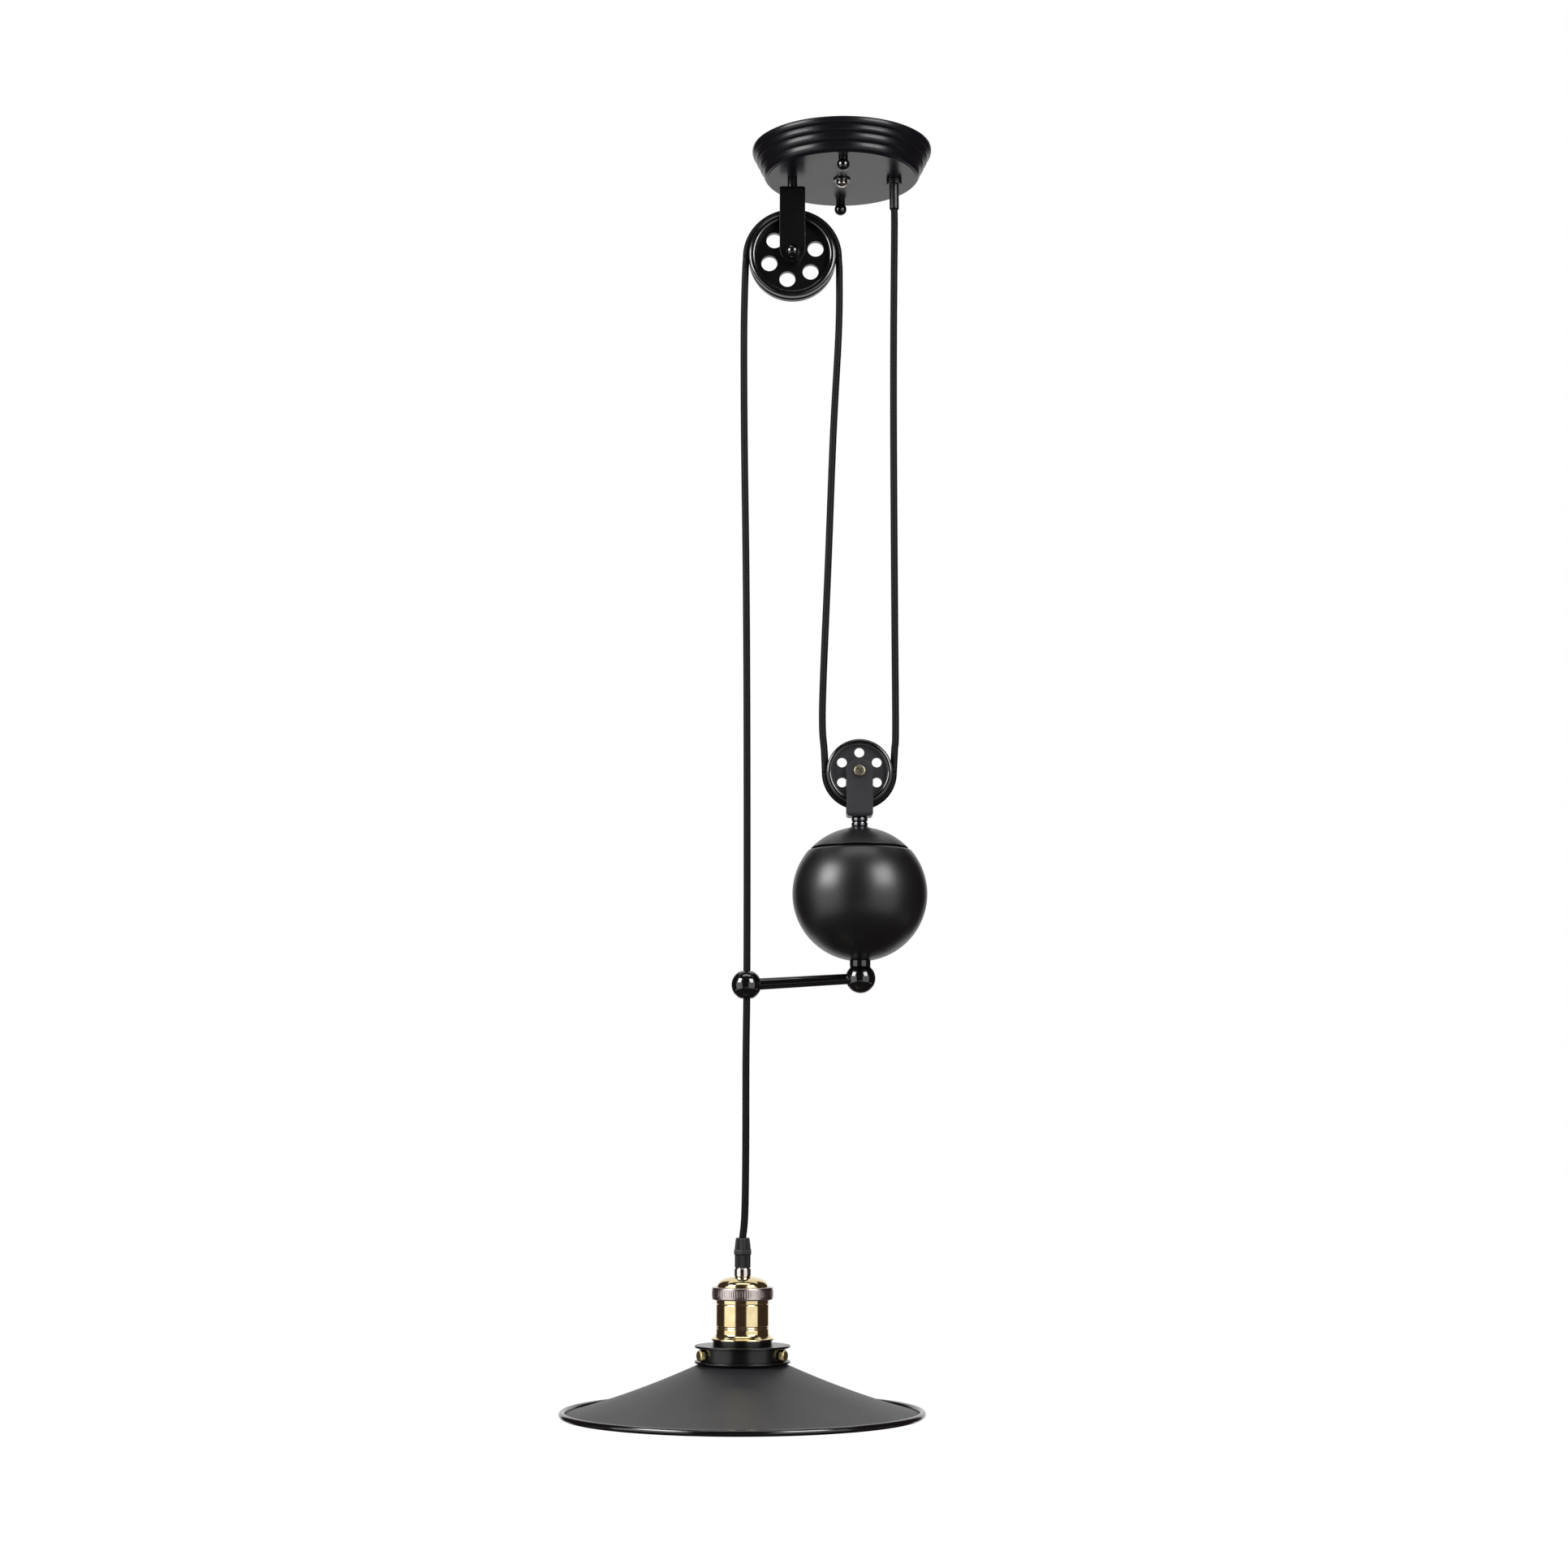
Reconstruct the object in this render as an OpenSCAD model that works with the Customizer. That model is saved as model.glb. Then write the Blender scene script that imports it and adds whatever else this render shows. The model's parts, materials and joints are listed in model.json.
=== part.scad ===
// Rise and fall pendant: a shaded lamp on a cord that runs over a fixed wheel and under
// the wheel of a round counterweight. Millimetres, +Z up, +X to the right as seen from
// the front. The origin is on the ceiling, at the middle of the canopy.

/* [Canopy] */
// Diameter of the canopy against the ceiling
canopy_d = 130; // [124:1:150]
// How much narrower the canopy's flat face is than its rim
canopy_taper = 22; // [8:1:24]
// Depth of the canopy below the ceiling
canopy_h = 22; // [20.5:0.5:30]
// Thickness of the canopy's sheet
canopy_wall = 1.2; // [0.8:0.1:1.6]
// How far each pressed ridge stands out of the canopy's side
ridge_bulge = 1.1; // [0.4:0.1:1.8]

/* [Ceiling strap] */
// Width of the ceiling strap
strap_w = 20; // [16:1:22]
// Thickness of the ceiling strap
strap_t = 2; // [1.5:0.1:2.4]
// Distance between the middles of the two ceiling slots
slot_pitch = 60; // [54:1:62]
// Width of a ceiling slot
slot_w = 4.6; // [4:0.1:6]
// Length of a ceiling slot, end to end
slot_l = 13; // [8:0.5:13]
// Distance between the two ball nuts
ball_nut_pitch = 90; // [88:1:92]
// Diameter of a ball nut
ball_nut_d = 9; // [8:0.5:11]
// Thread diameter of the canopy screws
canopy_screw_d = 4; // [3:0.5:5]
// Thread diameter of the centre stud
centre_stud_d = 5; // [4:0.5:6]
// Diameter of the washer under the centre nut
centre_washer_d = 12.4; // [10:0.2:16]

/* [Wiring] */
// Diameter of the cord
cord_d = 5; // [4.4:0.1:5.2]
// Diameter of a core inside the cord
core_d = 1.5; // [1:0.1:1.6]
// Distance from the canopy's middle to the cord grip
grip_x = 38; // [36:0.5:39]
// Length of the cord grip below the canopy
grip_l = 22.5; // [18:0.5:30]
// Diameter of the cord grip's flange
grip_flange_d = 11; // [10:0.5:13]
// Length of the terminal block
block_l = 24; // [22:1:26]
// Width of the terminal block
block_w = 12; // [10:1:13]
// Height of the terminal block
block_h = 15; // [14:0.5:15.5]

/* [Hanger and forks] */
// Distance from the canopy's middle to the hanger
hanger_x = 36; // [32:0.5:40]
// Diameter of the hanger's threaded stem
hanger_d = 7; // [6:0.5:8]
// Length of stem that shows between the canopy and the upper fork
hanger_show = 8; // [6:0.5:16]
// Width of the strap that both forks are bent from
fork_w = 18.5; // [17:0.5:20]
// Thickness of that strap
fork_t = 2.2; // [1.8:0.1:2.4]
// From the back of the upper fork's bridge to the upper axle
upper_drop = 50.5; // [50:0.5:60]
// From the back of the lower fork's bridge to the lower axle
lower_drop = 31.5; // [29.5:0.5:34]
// How far the upper fork's round ends are centred above the axle
ear_lift = 2.5; // [0:0.5:3]
// Running clearance of the axles in the bushes
axle_play = 0.05; // [0.02:0.01:0.1]

/* [Wheels] */
// Diameter of the upper wheel's flanges
upper_wheel_d = 63; // [60:0.5:63.5]
// Radius of the cord's middle line on the upper wheel
upper_wrap_r = 33.4; // [33:0.1:34]
// Width of the upper wheel
upper_wheel_w = 14; // [12:0.5:16]
// Diameter of the six holes in the upper wheel
upper_hole_d = 11.6; // [8:0.2:13]
// Diameter of the upper axle
upper_axle_d = 6; // [5:0.5:7]
// Diameter of the lower wheel's flanges
lower_wheel_d = 46.5; // [44:0.5:47]
// Radius of the cord's middle line on the lower wheel
lower_wrap_r = 24; // [23.8:0.1:24.2]
// Width of the lower wheel
lower_wheel_w = 12; // [11:0.5:14]
// Diameter of the six holes in the lower wheel
lower_hole_d = 7; // [5:0.2:8]
// Diameter of the lower axle screw
lower_axle_d = 5; // [4:0.5:6]
// Gap between a wheel's hub and its washers
wheel_gap = 0.3; // [0.2:0.05:0.5]
// Distance between the two axles, one above the other
axle_gap = 377.5; // [360:0.5:400]
// Distance from the middle of the canopy to the counterweight
weight_x = 11; // [10:0.5:12]

/* [Counterweight] */
// Diameter of the counterweight
weight_d = 94.5; // [90:0.5:98]
// Wall thickness of the counterweight's two shells
weight_wall = 1.5; // [1:0.1:2.5]
// Height of the lid's edge above the middle of the counterweight
seam_h = 32; // [28:0.5:34]
// Depth of the iron ballast in the bottom of the counterweight
ballast_h = 30.9; // [20:0.1:50]
// Diameter of the tie rod through the counterweight
tie_rod_d = 6; // [5:0.5:7]
// Height of each of the two neck pieces
neck_h = 3.5; // [3.5:0.25:7]
// Diameter of the two neck pieces
neck_d = 11.4; // [10:0.2:14]
// Diameter of the neck under the counterweight
foot_d = 14.6; // [13:0.2:16]
// Diameter of the two balls of the guide arm
arm_ball_d = 21; // [19:0.5:24]
// Diameter of the guide arm at the counterweight
rod_thin_d = 7.4; // [6:0.1:8]
// Diameter of the guide arm at the cord
rod_thick_d = 8.2; // [6:0.1:9]
// Distance between the middles of the two balls, across
arm_reach = 79; // [76:0.5:80]
// How much lower the guide ball sits than the arm ball
arm_fall = 4.8; // [3:0.1:6]
// Diameter of the guide ball's hole for the cord
guide_hole_d = 8.6; // [8:0.1:10]

/* [Lamp holder] */
// Distance from the middle of the canopy to the lamp
lamp_x = 70.5; // [68:0.5:73]
// Height of the top of the lamp below the ceiling
lamp_z = 781; // [780:1:900]
// Height of the cord grip's nut
grip_nut_h = 11.5; // [9:0.5:15]
// Height of the cord grip's body
grip_body_h = 9; // [7:0.5:12]
// Height of the steel nipple that shows
nipple_h = 6; // [4:0.5:10]
// Diameter of the steel nipple that shows
nipple_d = 11.4; // [10.6:0.2:14]
// Height of the brass dome
dome_h = 6.8; // [6:0.2:9]
// Diameter of the knurled brass ring
ring_d = 42; // [40:0.5:44]
// Height of the knurled brass ring
ring_h = 8.5; // [6:0.5:9]
// Diameter of the brass shell
shell_d = 36.3; // [36:0.1:38]
// Height of the brass shell
shell_h = 27; // [27:0.5:34]
// Diameter of the flare at the shell's foot
flare_d = 43; // [40:0.5:46]
// Wall thickness of the brass pieces
brass_wall = 0.8; // [0.6:0.1:1]
// Inner diameter of the lamp's screw shell
socket_d = 26.6; // [26.2:0.1:27]
// Depth of the lamp's screw shell
socket_l = 20; // [18:0.5:20]

/* [Shade] */
// Diameter of the shade at its rim
shade_d = 250; // [200:1:300]
// Slope of the shade from neck to rim, in degrees from level
shade_slope = 20; // [15:0.1:30]
// How far the shade dips below a straight cone, halfway out
shade_dip = 2.2; // [0:0.1:4]
// Thickness of the shade's sheet
shade_wall = 1; // [0.8:0.1:1.4]
// Diameter of the shade's rolled rim
rim_bead_d = 4.4; // [3:0.1:5]
// Outer diameter of the shade's neck
shade_neck_d = 55.6; // [54:0.2:56]
// Diameter of the gallery's two flanges
gallery_d = 65.5; // [64:0.5:70]
// Diameter of the gallery's waist
gallery_waist_d = 59; // [58.6:0.1:60]
// Height of the gallery from shoulder to lower flange
gallery_h = 12; // [11:0.5:16]
// Height of the step that joins the gallery to the holder
gallery_step_h = 3.6; // [3.4:0.1:5]
// Diameter of a gallery screw's knurled head
gallery_head_d = 7.4; // [5:0.2:7.6]

/* [Hidden] */
$fn = 96;
// Clearance of a piece that slides into another
fit = 0.1;
// Clearance of a piece that is pressed or screwed home
seat = 0.05;
// Clearance between the cord and the groove that it runs in
cord_play = 0.3;
// How far a cutting shape runs past the surface that it cuts
past = 1;

// Canopy and strap
canopy_r = canopy_d / 2;
face_r = (canopy_d - canopy_taper) / 2;
face_z = -canopy_h;
floor_z = face_z + canopy_wall;
ridge_at = [0, 0.24, 0.46, 0.72, 1];
ridge_steps = 6;
screw_head_h = 2.6;
screw_head_r = 0.85 * canopy_screw_d;
strap_set_down = screw_head_h + 0.8;
slot_border = 1;
slot_end = (slot_pitch + slot_l) / 2 + slot_border;
strap_end = ball_nut_pitch / 2 + 1.5 * canopy_screw_d;
ball_nut_neck = 1.4;
ball_nut_wall = 1.3;
ball_nut_z = face_z - ball_nut_neck - ball_nut_d / 2;
centre_washer_t = 1.2;
centre_nut_d = 8;
centre_nut_h = 4.5;
centre_nut_edge = 0.5;
stud_inset = 0.2;

// Wiring in the canopy
grip_z = face_z - grip_l;
grip_flange_h = 4;
grip_sleeve_d = cord_d + 1.8;
grip_bore_d = cord_d + 0.4;
grip_thread_d = 8;
lock_nut_h = 4;
grip_thread_z = floor_z + lock_nut_h;
cord_bend_r = 6.5;
cord_level = grip_thread_z + cord_bend_r;
block_gap = 3;
block_x = strap_w / 2 + block_gap;
block_face_x = block_x + block_w;
cord_end_x = grip_x - cord_bend_r;
poles = [-1, 0, 1];
core_pitch = core_d + 0.1;
pole_pitch = block_l / 3 - 1;
pole_hole_d = core_d + 0.7;
pole_depth = 6;
pole_screw_d = 3;
pole_screw_in = 4.5;
pole_screw_x = block_face_x - pole_screw_in;
pole_screw_sunk = 0.5;
core_end_past = 1;
core_gap = 0.4;

// Hanger, forks and wheels
bridge_z = face_z - hanger_show;
upper_z = bridge_z - upper_drop;
fork_bend = 3;
fork_corner = 1.5;
washer_t = 0.9;
washer_border = 3.5;
upper_gap = upper_wheel_w + 2 * (washer_t + wheel_gap);
lower_gap = lower_wheel_w + 2 * (washer_t + wheel_gap);
hanger_nut_h = 0.75 * hanger_d;
hanger_nut_af = 1.57 * hanger_d;
hanger_washer_r = 0.7 * hanger_nut_af;
hanger_washer_t = 1.2;
thread_past_nut = 1;
dome_nut_af = upper_axle_d + 4;
dome_nut_h = 3;
dome_nut_grip = 2.6;
dome_nut_edge = 0.2;
bush_wall = 1.5;
hub_wall = 2.5;
rim_edge = 0.8;
upper_hole_edge = 3.1;
lower_hole_edge = 1.6;
upper_rim_t = 5;
lower_rim_t = 4;
web_t = 4;
upper_first = 18; // degrees
lower_first = 30; // degrees

lower_ear = lower_gap / 2 + fork_t;
lower_nut_h = 0.8 * lower_axle_d;
lower_nut_af = 1.6 * lower_axle_d;
pan_r = 0.85 * lower_axle_d;
pan_h = 2.6;
pan_edge = 1.2;
recess_w = 1;
recess_l = 0.9 * lower_axle_d;
recess_t = 1.4;

// Counterweight levels
lower_z = upper_z - axle_gap;
fork_foot_z = lower_z - lower_drop;
collar_top_z = fork_foot_z - neck_h;
weight_top_z = collar_top_z - neck_h;
weight_r = weight_d / 2;
hollow_r = weight_r - weight_wall;
weight_z = weight_top_z - weight_r;
seam_z = weight_z + seam_h;
lid_step = 0.4;
lid_r = weight_r - lid_step;
skirt_r = sqrt(hollow_r * hollow_r - seam_h * seam_h) - fit;
lid_skirt_h = 5;
lid_flat_border = 0.6;
lid_flat_t = weight_wall + 0.8;
neck_edge = 1.2;
foot_gap = 1;
arm_ball_r = arm_ball_d / 2;
arm_z = weight_z - weight_r - foot_gap - arm_ball_r;
guide_x = weight_x - arm_reach;
guide_z = arm_z - arm_fall;
arm_from = [weight_x, 0, arm_z];
arm_to = [guide_x, 0, guide_z];
arm_way = (arm_to - arm_from) / norm(arm_to - arm_from);
rod_in_arm = 5;
rod_off_guide = guide_hole_d / 2 + 0.2;

// Lamp levels, from the top down
grip_top_z = -lamp_z;
grip_body_z = grip_top_z - grip_nut_h;
nipple_z = grip_body_z - grip_body_h;
dome_z = nipple_z - nipple_h;
ring_z = dome_z - dome_h;
shell_z = ring_z - ring_h;
gallery_z = shell_z - shell_h;
shoulder_z = gallery_z - gallery_step_h;
gallery_foot_z = shoulder_z - gallery_h;
grip_hex_h = 3.5;
grip_hex_border = 1.1;
grip_nose_taper = 1;
grip_body_inset = 0.3;
nipple_edge = 1;
ring_edge = 0.7;
nipple_thread_d = 9.6;
nipple_bore_d = cord_d + 1;
nipple_up = 4.5;
nipple_down = 3;
shell_r = shell_d / 2;
dome_r = shell_r - 0.6;
dome_steps = 10;
crown_r = nipple_d / 2 - 0.5;
flare_h = 4.6;
groove_in = 0.25;
groove_h = 0.6;
groove_from_end = 3;
flare_edge_h = 1;
terminal_depth = 3;
collar_wall = 3.6;
collar_h = 7.7;
insert_r = shell_r - brass_wall - fit;
insert_z = shell_z - 0.3;
boss_r = 12;
boss_z = insert_z + terminal_depth;
collar_r = socket_d / 2 + collar_wall;
sheet = 1.2;
collar_z = gallery_z - collar_h;
socket_r = socket_d / 2;
socket_wall = 0.5;
socket_inset = 5;
socket_foot_z = collar_z + socket_inset;
socket_top_z = socket_foot_z + socket_l;
contact_t = 0.8;
contact_r = socket_r / 4;
cavity_z = socket_top_z + contact_r + contact_t + 0.3;
terminal_x = 7;
terminal_head_d = 5;
terminal_head_h = 2;
terminal_d = 2.4;
core_bend_r = 3;
cord_past_nipple = 1.5;
lamp_cord_z = dome_z - nipple_down - cord_past_nipple;

// Gallery and shade levels
step_border = 3.4;
step_r = collar_r + step_border;
gallery_r = gallery_d / 2;
waist_r = gallery_waist_d / 2;
flange_t = 1.6;
flange_edge = 0.6;
gallery_screw_d = 3.5;
gallery_screw_z = (shoulder_z + gallery_foot_z) / 2;
gallery_head_h = 4;
gallery_head_gap = 0.6;
head_end_r = waist_r + gallery_head_gap + gallery_head_h;
head_slot_w = 0.8;
head_slot_t = 0.8;
ring_gap = 0.2;
ring_border = 2;
gallery_angles = [90, 210, 330]; // degrees
neck_r = shade_neck_d / 2;
neck_lip = 0.4;
neck_lip_h = 1.1;
neck_top_z = shoulder_z - 2 * sheet;
bead_r = rim_bead_d / 2;
bead_sink = 0.3;
bead_at = 190; // degrees
bead_steps = 24;
cone_r = shade_d / 2 - bead_r;
cone_w = cone_r - neck_r;
cone_steps = 12;
// How far the shade has fallen at a part of the way from neck to rim.
function shade_fall(part) = part * cone_w * tan(shade_slope) + 4 * part * (1 - part) * shade_dip;
cone_z = gallery_foot_z - seat + shade_fall((waist_r - sheet - neck_r) / cone_w);
rim_z = cone_z - shade_fall(1);
shade_drop_t = shade_wall / cos(shade_slope);

// Cord routes as [x, z]. Each stretch runs between two places that hold the cord. The marks
// between say how far down the stretch they lie, from 0 to 1, and how far the cord stands to
// the right of the straight line there, in cord diameters. They were judged by eye.
ring_step = 20;
cord_sides = 10;
function marked(top, foot, marks) =
    [for (mark = marks) top + (foot - top) * mark[0] + [mark[1] * cord_d, 0]];
wheel_left = [-hanger_x - upper_wrap_r, upper_z];
wheel_right = [-hanger_x + upper_wrap_r, upper_z];
low_left = [weight_x - lower_wrap_r, lower_z];
low_right = [weight_x + lower_wrap_r, lower_z];
guide = [guide_x, guide_z];
grip = [grip_x, grip_z];
lamp_top = [-lamp_x, grip_top_z];
left_route = concat([wheel_left],
    marked(wheel_left, guide, [[0.03, -0.17], [0.11, -0.35], [0.25, -0.31], [0.43, -0.08],
                               [0.6, 0.03], [0.83, 0.05]]),
    [guide], marked(guide, lamp_top, [[0.3, 0.05], [0.65, 0.22], [0.9, 0.24]]), [lamp_top]);
middle_route = concat([wheel_right],
    marked(wheel_right, low_left, [[0.04, 0.2], [0.15, 0.3], [0.35, -0.1], [0.6, -0.35],
                                   [0.82, -0.62], [0.91, -0.58], [0.96, -0.21]]),
    [low_left]);
right_route = concat([grip],
    marked(grip, low_right, [[0.04, 0.03], [0.23, -0.06], [0.42, -0.04], [0.71, 0.14],
                             [0.92, 0.3], [0.96, 0.17]]),
    [low_right]);

black = "#202022";
soft_black = "#2e2e31";
nickel = "#c4c2ba";
brass = "#b18b48";
steel = "#8f9194";
white = "#ece8dc";
copper = "#b87448";

// ---------------------------------------------------------------- helpers

// A solid cylinder between two heights.
module rod(r, z_low, z_high) {
    translate([0, 0, z_low]) cylinder(r = r, h = z_high - z_low);
}

// A tube between two heights.
module tube(r_out, r_in, z_low, z_high) {
    difference() {
        rod(r_out, z_low, z_high);
        rod(r_in, z_low - past, z_high + past);
    }
}

// A hexagon nut between two heights.
module hex_nut(across_flats, bore_d, z_low, z_high) {
    difference() {
        translate([0, 0, z_low])
            cylinder(d = across_flats / cos(30), h = z_high - z_low, $fn = 6);
        rod(bore_d / 2, z_low - past, z_high + past);
    }
}

// A straight round bar from one point to another, which may taper.
module bar(from, to, d_from, d_to) {
    way = to - from;
    translate(from)
        rotate([0, acos(way[2] / norm(way)), atan2(way[1], way[0])])
            cylinder(d1 = d_from, d2 = d_to, h = norm(way));
}

// A rectangle from r_in to r_out and z_low to z_high with round corners at r_out.
module band(r_in, r_out, z_low, z_high, edge) {
    translate([r_in, z_low]) square([r_out - r_in - edge, z_high - z_low]);
    translate([r_in, z_low + edge]) square([r_out - r_in, z_high - z_low - 2 * edge]);
    for (z = [z_low + edge, z_high - edge]) translate([r_out - edge, z]) circle(r = edge);
}

// Turns a shape that was made about Z so that it lies along Y, at a place.
module across(x, z) {
    translate([x, 0, z]) rotate([90, 0, 0]) children();
}

module at_hanger() translate([-hanger_x, 0, 0]) children();
module at_grip() translate([grip_x, 0, 0]) children();
module at_weight() translate([weight_x, 0, 0]) children();
module at_lamp() translate([-lamp_x, 0, 0]) children();

// ---------------------------------------------------------------- ceiling strap and canopy

// A flat bar whose two ends are set down, so that the screw heads clear the ceiling.
module ceiling_strap() color(steel) difference() {
    union() {
        translate([-strap_w / 2, -slot_end, -strap_t]) cube([strap_w, 2 * slot_end, strap_t]);
        for (side = [-1, 1]) on_side(side) {
            translate([-strap_w / 2, slot_end - strap_t, -strap_set_down - strap_t])
                cube([strap_w, strap_t, strap_set_down + strap_t]);
            translate([-strap_w / 2, slot_end - strap_t, -strap_set_down - strap_t])
                cube([strap_w, strap_end - slot_end + strap_t, strap_t]);
        }
    }
    for (side = [-1, 1]) on_side(side) {
        slot(slot_pitch / 2, slot_w, slot_l, -strap_t - past, past);
        translate([0, ball_nut_pitch / 2, 0])
            rod(canopy_screw_d / 2 + seat, -strap_set_down - strap_t - past, 0);
    }
    rod(centre_stud_d / 2 + seat, -strap_t - past, past);
}

// Mirrors a shape to the back when side is -1.
module on_side(side) mirror([0, side < 0 ? 1 : 0, 0]) children();

// A slot that runs along Y, centred at a distance from the middle.
module slot(y, width, length, z_low, z_high) {
    run = length - width;
    for (end = [-run / 2, run / 2]) translate([0, y + end, 0]) rod(width / 2, z_low, z_high);
    translate([-width / 2, y - run / 2, z_low]) cube([width, run, z_high - z_low]);
}

// Cheese-head screws that hang from the strap's ends and take the ball nuts.
module canopy_screws() color(steel) for (side = [-1, 1]) on_side(side)
    translate([0, ball_nut_pitch / 2, 0]) {
        rod(screw_head_r, -strap_set_down, -strap_set_down + screw_head_h);
        rod(canopy_screw_d / 2, ball_nut_z, -strap_set_down);
    }

// A point on the straight line down the canopy's side, from 0 at the ceiling to 1.
function side_point(s) = [canopy_r + (face_r - canopy_r) * s, -canopy_h * s];

// The outline of the side: an arc between each two marks of ridge_at.
function side_outline() =
    let (way = side_point(1) - side_point(0), out = [-way[1], way[0]] / norm(way))
    concat([for (i = [0 : len(ridge_at) - 2], k = [0 : ridge_steps - 1])
                let (t = k / ridge_steps, s = ridge_at[i] + (ridge_at[i + 1] - ridge_at[i]) * t)
                side_point(s) + out * 4 * ridge_bulge * t * (1 - t)],
           [side_point(1)]);

// A shallow pressed dish with ridges round its side and a flat face.
module canopy() color(black) difference() {
    outline = side_outline();
    count = len(outline);
    inside = [for (i = [1 : count - 1])
                 if (outline[count - 1 - i][1] > floor_z) outline[count - 1 - i] - [canopy_wall, 0]];
    rotate_extrude()
        polygon(concat(outline, [[0, face_z], [0, floor_z], [face_r - canopy_wall, floor_z]],
                       inside));
    for (side = [-1, 1]) translate([0, side * ball_nut_pitch / 2, 0])
        face_hole(canopy_screw_d + 2 * fit);
    face_hole(centre_stud_d + 2 * fit);
    at_hanger() face_hole(hanger_d + 2 * fit);
    at_grip() face_hole(grip_thread_d + 2 * fit);
}

module face_hole(d) rod(d / 2, face_z - past, floor_z + past);

// Round nuts under the canopy, each with a short neck.
module ball_nuts() color(black) for (side = [-1, 1]) translate([0, side * ball_nut_pitch / 2, 0])
    difference() {
        union() {
            translate([0, 0, ball_nut_z]) sphere(d = ball_nut_d);
            rod(canopy_screw_d / 2 + ball_nut_wall, ball_nut_z, face_z);
        }
        rod(canopy_screw_d / 2 + seat, ball_nut_z, face_z + past);
    }

module centre_stud() color(steel)
    rod(centre_stud_d / 2, face_z - centre_washer_t - centre_nut_h / 2, -stud_inset);

module centre_washer() color(black)
    tube(centre_washer_d / 2, centre_stud_d / 2 + fit, face_z - centre_washer_t, face_z);

// A small domed nut, closed below.
module centre_nut() color(nickel) difference() {
    dome_r_out = centre_nut_d / 2 + centre_nut_edge;
    translate([0, 0, face_z - centre_washer_t])
        mirror([0, 0, 1]) rotate_extrude()
            intersection() {
                square([centre_nut_d / 2, centre_nut_h]);
                translate([0, centre_nut_h - dome_r_out]) circle(r = dome_r_out);
            }
    rod(centre_stud_d / 2 + seat, face_z - centre_washer_t - centre_nut_h / 2, face_z);
}

// ---------------------------------------------------------------- wiring in the canopy

module pole_axis(k) translate([block_face_x, k * pole_pitch, cord_level])
    rotate([0, -90, 0]) children();

module terminal_block() color(white) difference() {
    translate([block_x, -block_l / 2, floor_z]) cube([block_w, block_l, block_h]);
    for (k = poles) {
        pole_axis(k) rod(pole_hole_d / 2, -past, pole_depth);
        translate([pole_screw_x, k * pole_pitch, 0])
            rod(pole_screw_d / 2 + seat, cord_level, floor_z + block_h + past);
    }
}

module terminal_screws() color(brass) for (k = poles)
    translate([pole_screw_x, k * pole_pitch, 0])
        rod(pole_screw_d / 2, cord_level + core_d / 2 + seat, floor_z + block_h - pole_screw_sunk);

// A flange under the canopy, a sleeve below it and a thread through the face.
module canopy_grip() color(black) at_grip() difference() {
    union() {
        rod(grip_flange_d / 2, face_z - grip_flange_h, face_z);
        rod(grip_sleeve_d / 2, grip_z, face_z);
        rod(grip_thread_d / 2, face_z, grip_thread_z);
    }
    rod(grip_bore_d / 2, grip_z - past, grip_thread_z + past);
}

module grip_lock_nut() color(black)
    at_grip() hex_nut(grip_thread_d + 4, grip_thread_d + 2 * seat, floor_z, grip_thread_z);

// A round bend in the level plane, from one angle on through a turn.
module bend(radius, from, turn, d) rotate([0, 0, from])
    rotate_extrude(angle = turn) translate([radius, 0]) circle(d = d);

// The cord's fixed end: up through the grip and round a bend towards the block.
module canopy_cord() color(soft_black) {
    at_grip() rod(cord_d / 2, grip_z, grip_thread_z);
    translate([cord_end_x, 0, grip_thread_z]) rotate([90, 0, 0]) bend(cord_bend_r, 0, 90, cord_d);
}

// The three cores: one straight, and two that bend out and back in towards their poles.
module canopy_cores() color(copper) translate([0, 0, cord_level]) {
    inner_end = pole_screw_x - core_end_past;
    radius = (pole_pitch - core_pitch - core_gap) / 2;
    bar([inner_end, 0, 0], [cord_end_x, 0, 0], core_d, core_d);
    for (side = [-1, 1]) on_side(side) {
        translate([cord_end_x, core_pitch + radius, 0]) bend(radius, 180, 90, core_d);
        bar([cord_end_x - radius, core_pitch + radius, 0],
            [cord_end_x - radius, pole_pitch - radius, 0], core_d, core_d);
        translate([cord_end_x - 2 * radius, pole_pitch - radius, 0]) bend(radius, 0, 90, core_d);
        bar([inner_end, pole_pitch, 0], [cord_end_x - 2 * radius, pole_pitch, 0], core_d, core_d);
    }
}

// ---------------------------------------------------------------- hanger and upper fork

module hanger_stem() color(black) at_hanger()
    rod(hanger_d / 2, bridge_z - fork_t - hanger_nut_h - thread_past_nut,
        floor_z + hanger_washer_t + hanger_nut_h + thread_past_nut);

// One nut inside the canopy and one under the fork's bridge.
module hanger_nuts() color(steel) at_hanger() {
    hex_nut(hanger_nut_af, hanger_d + 2 * seat, floor_z + hanger_washer_t,
            floor_z + hanger_washer_t + hanger_nut_h);
    hex_nut(hanger_nut_af, hanger_d + 2 * seat, bridge_z - fork_t - hanger_nut_h,
            bridge_z - fork_t);
}

module hanger_washer() color(steel) at_hanger()
    tube(hanger_washer_r, hanger_d / 2 + fit, floor_z, floor_z + hanger_washer_t);

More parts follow.
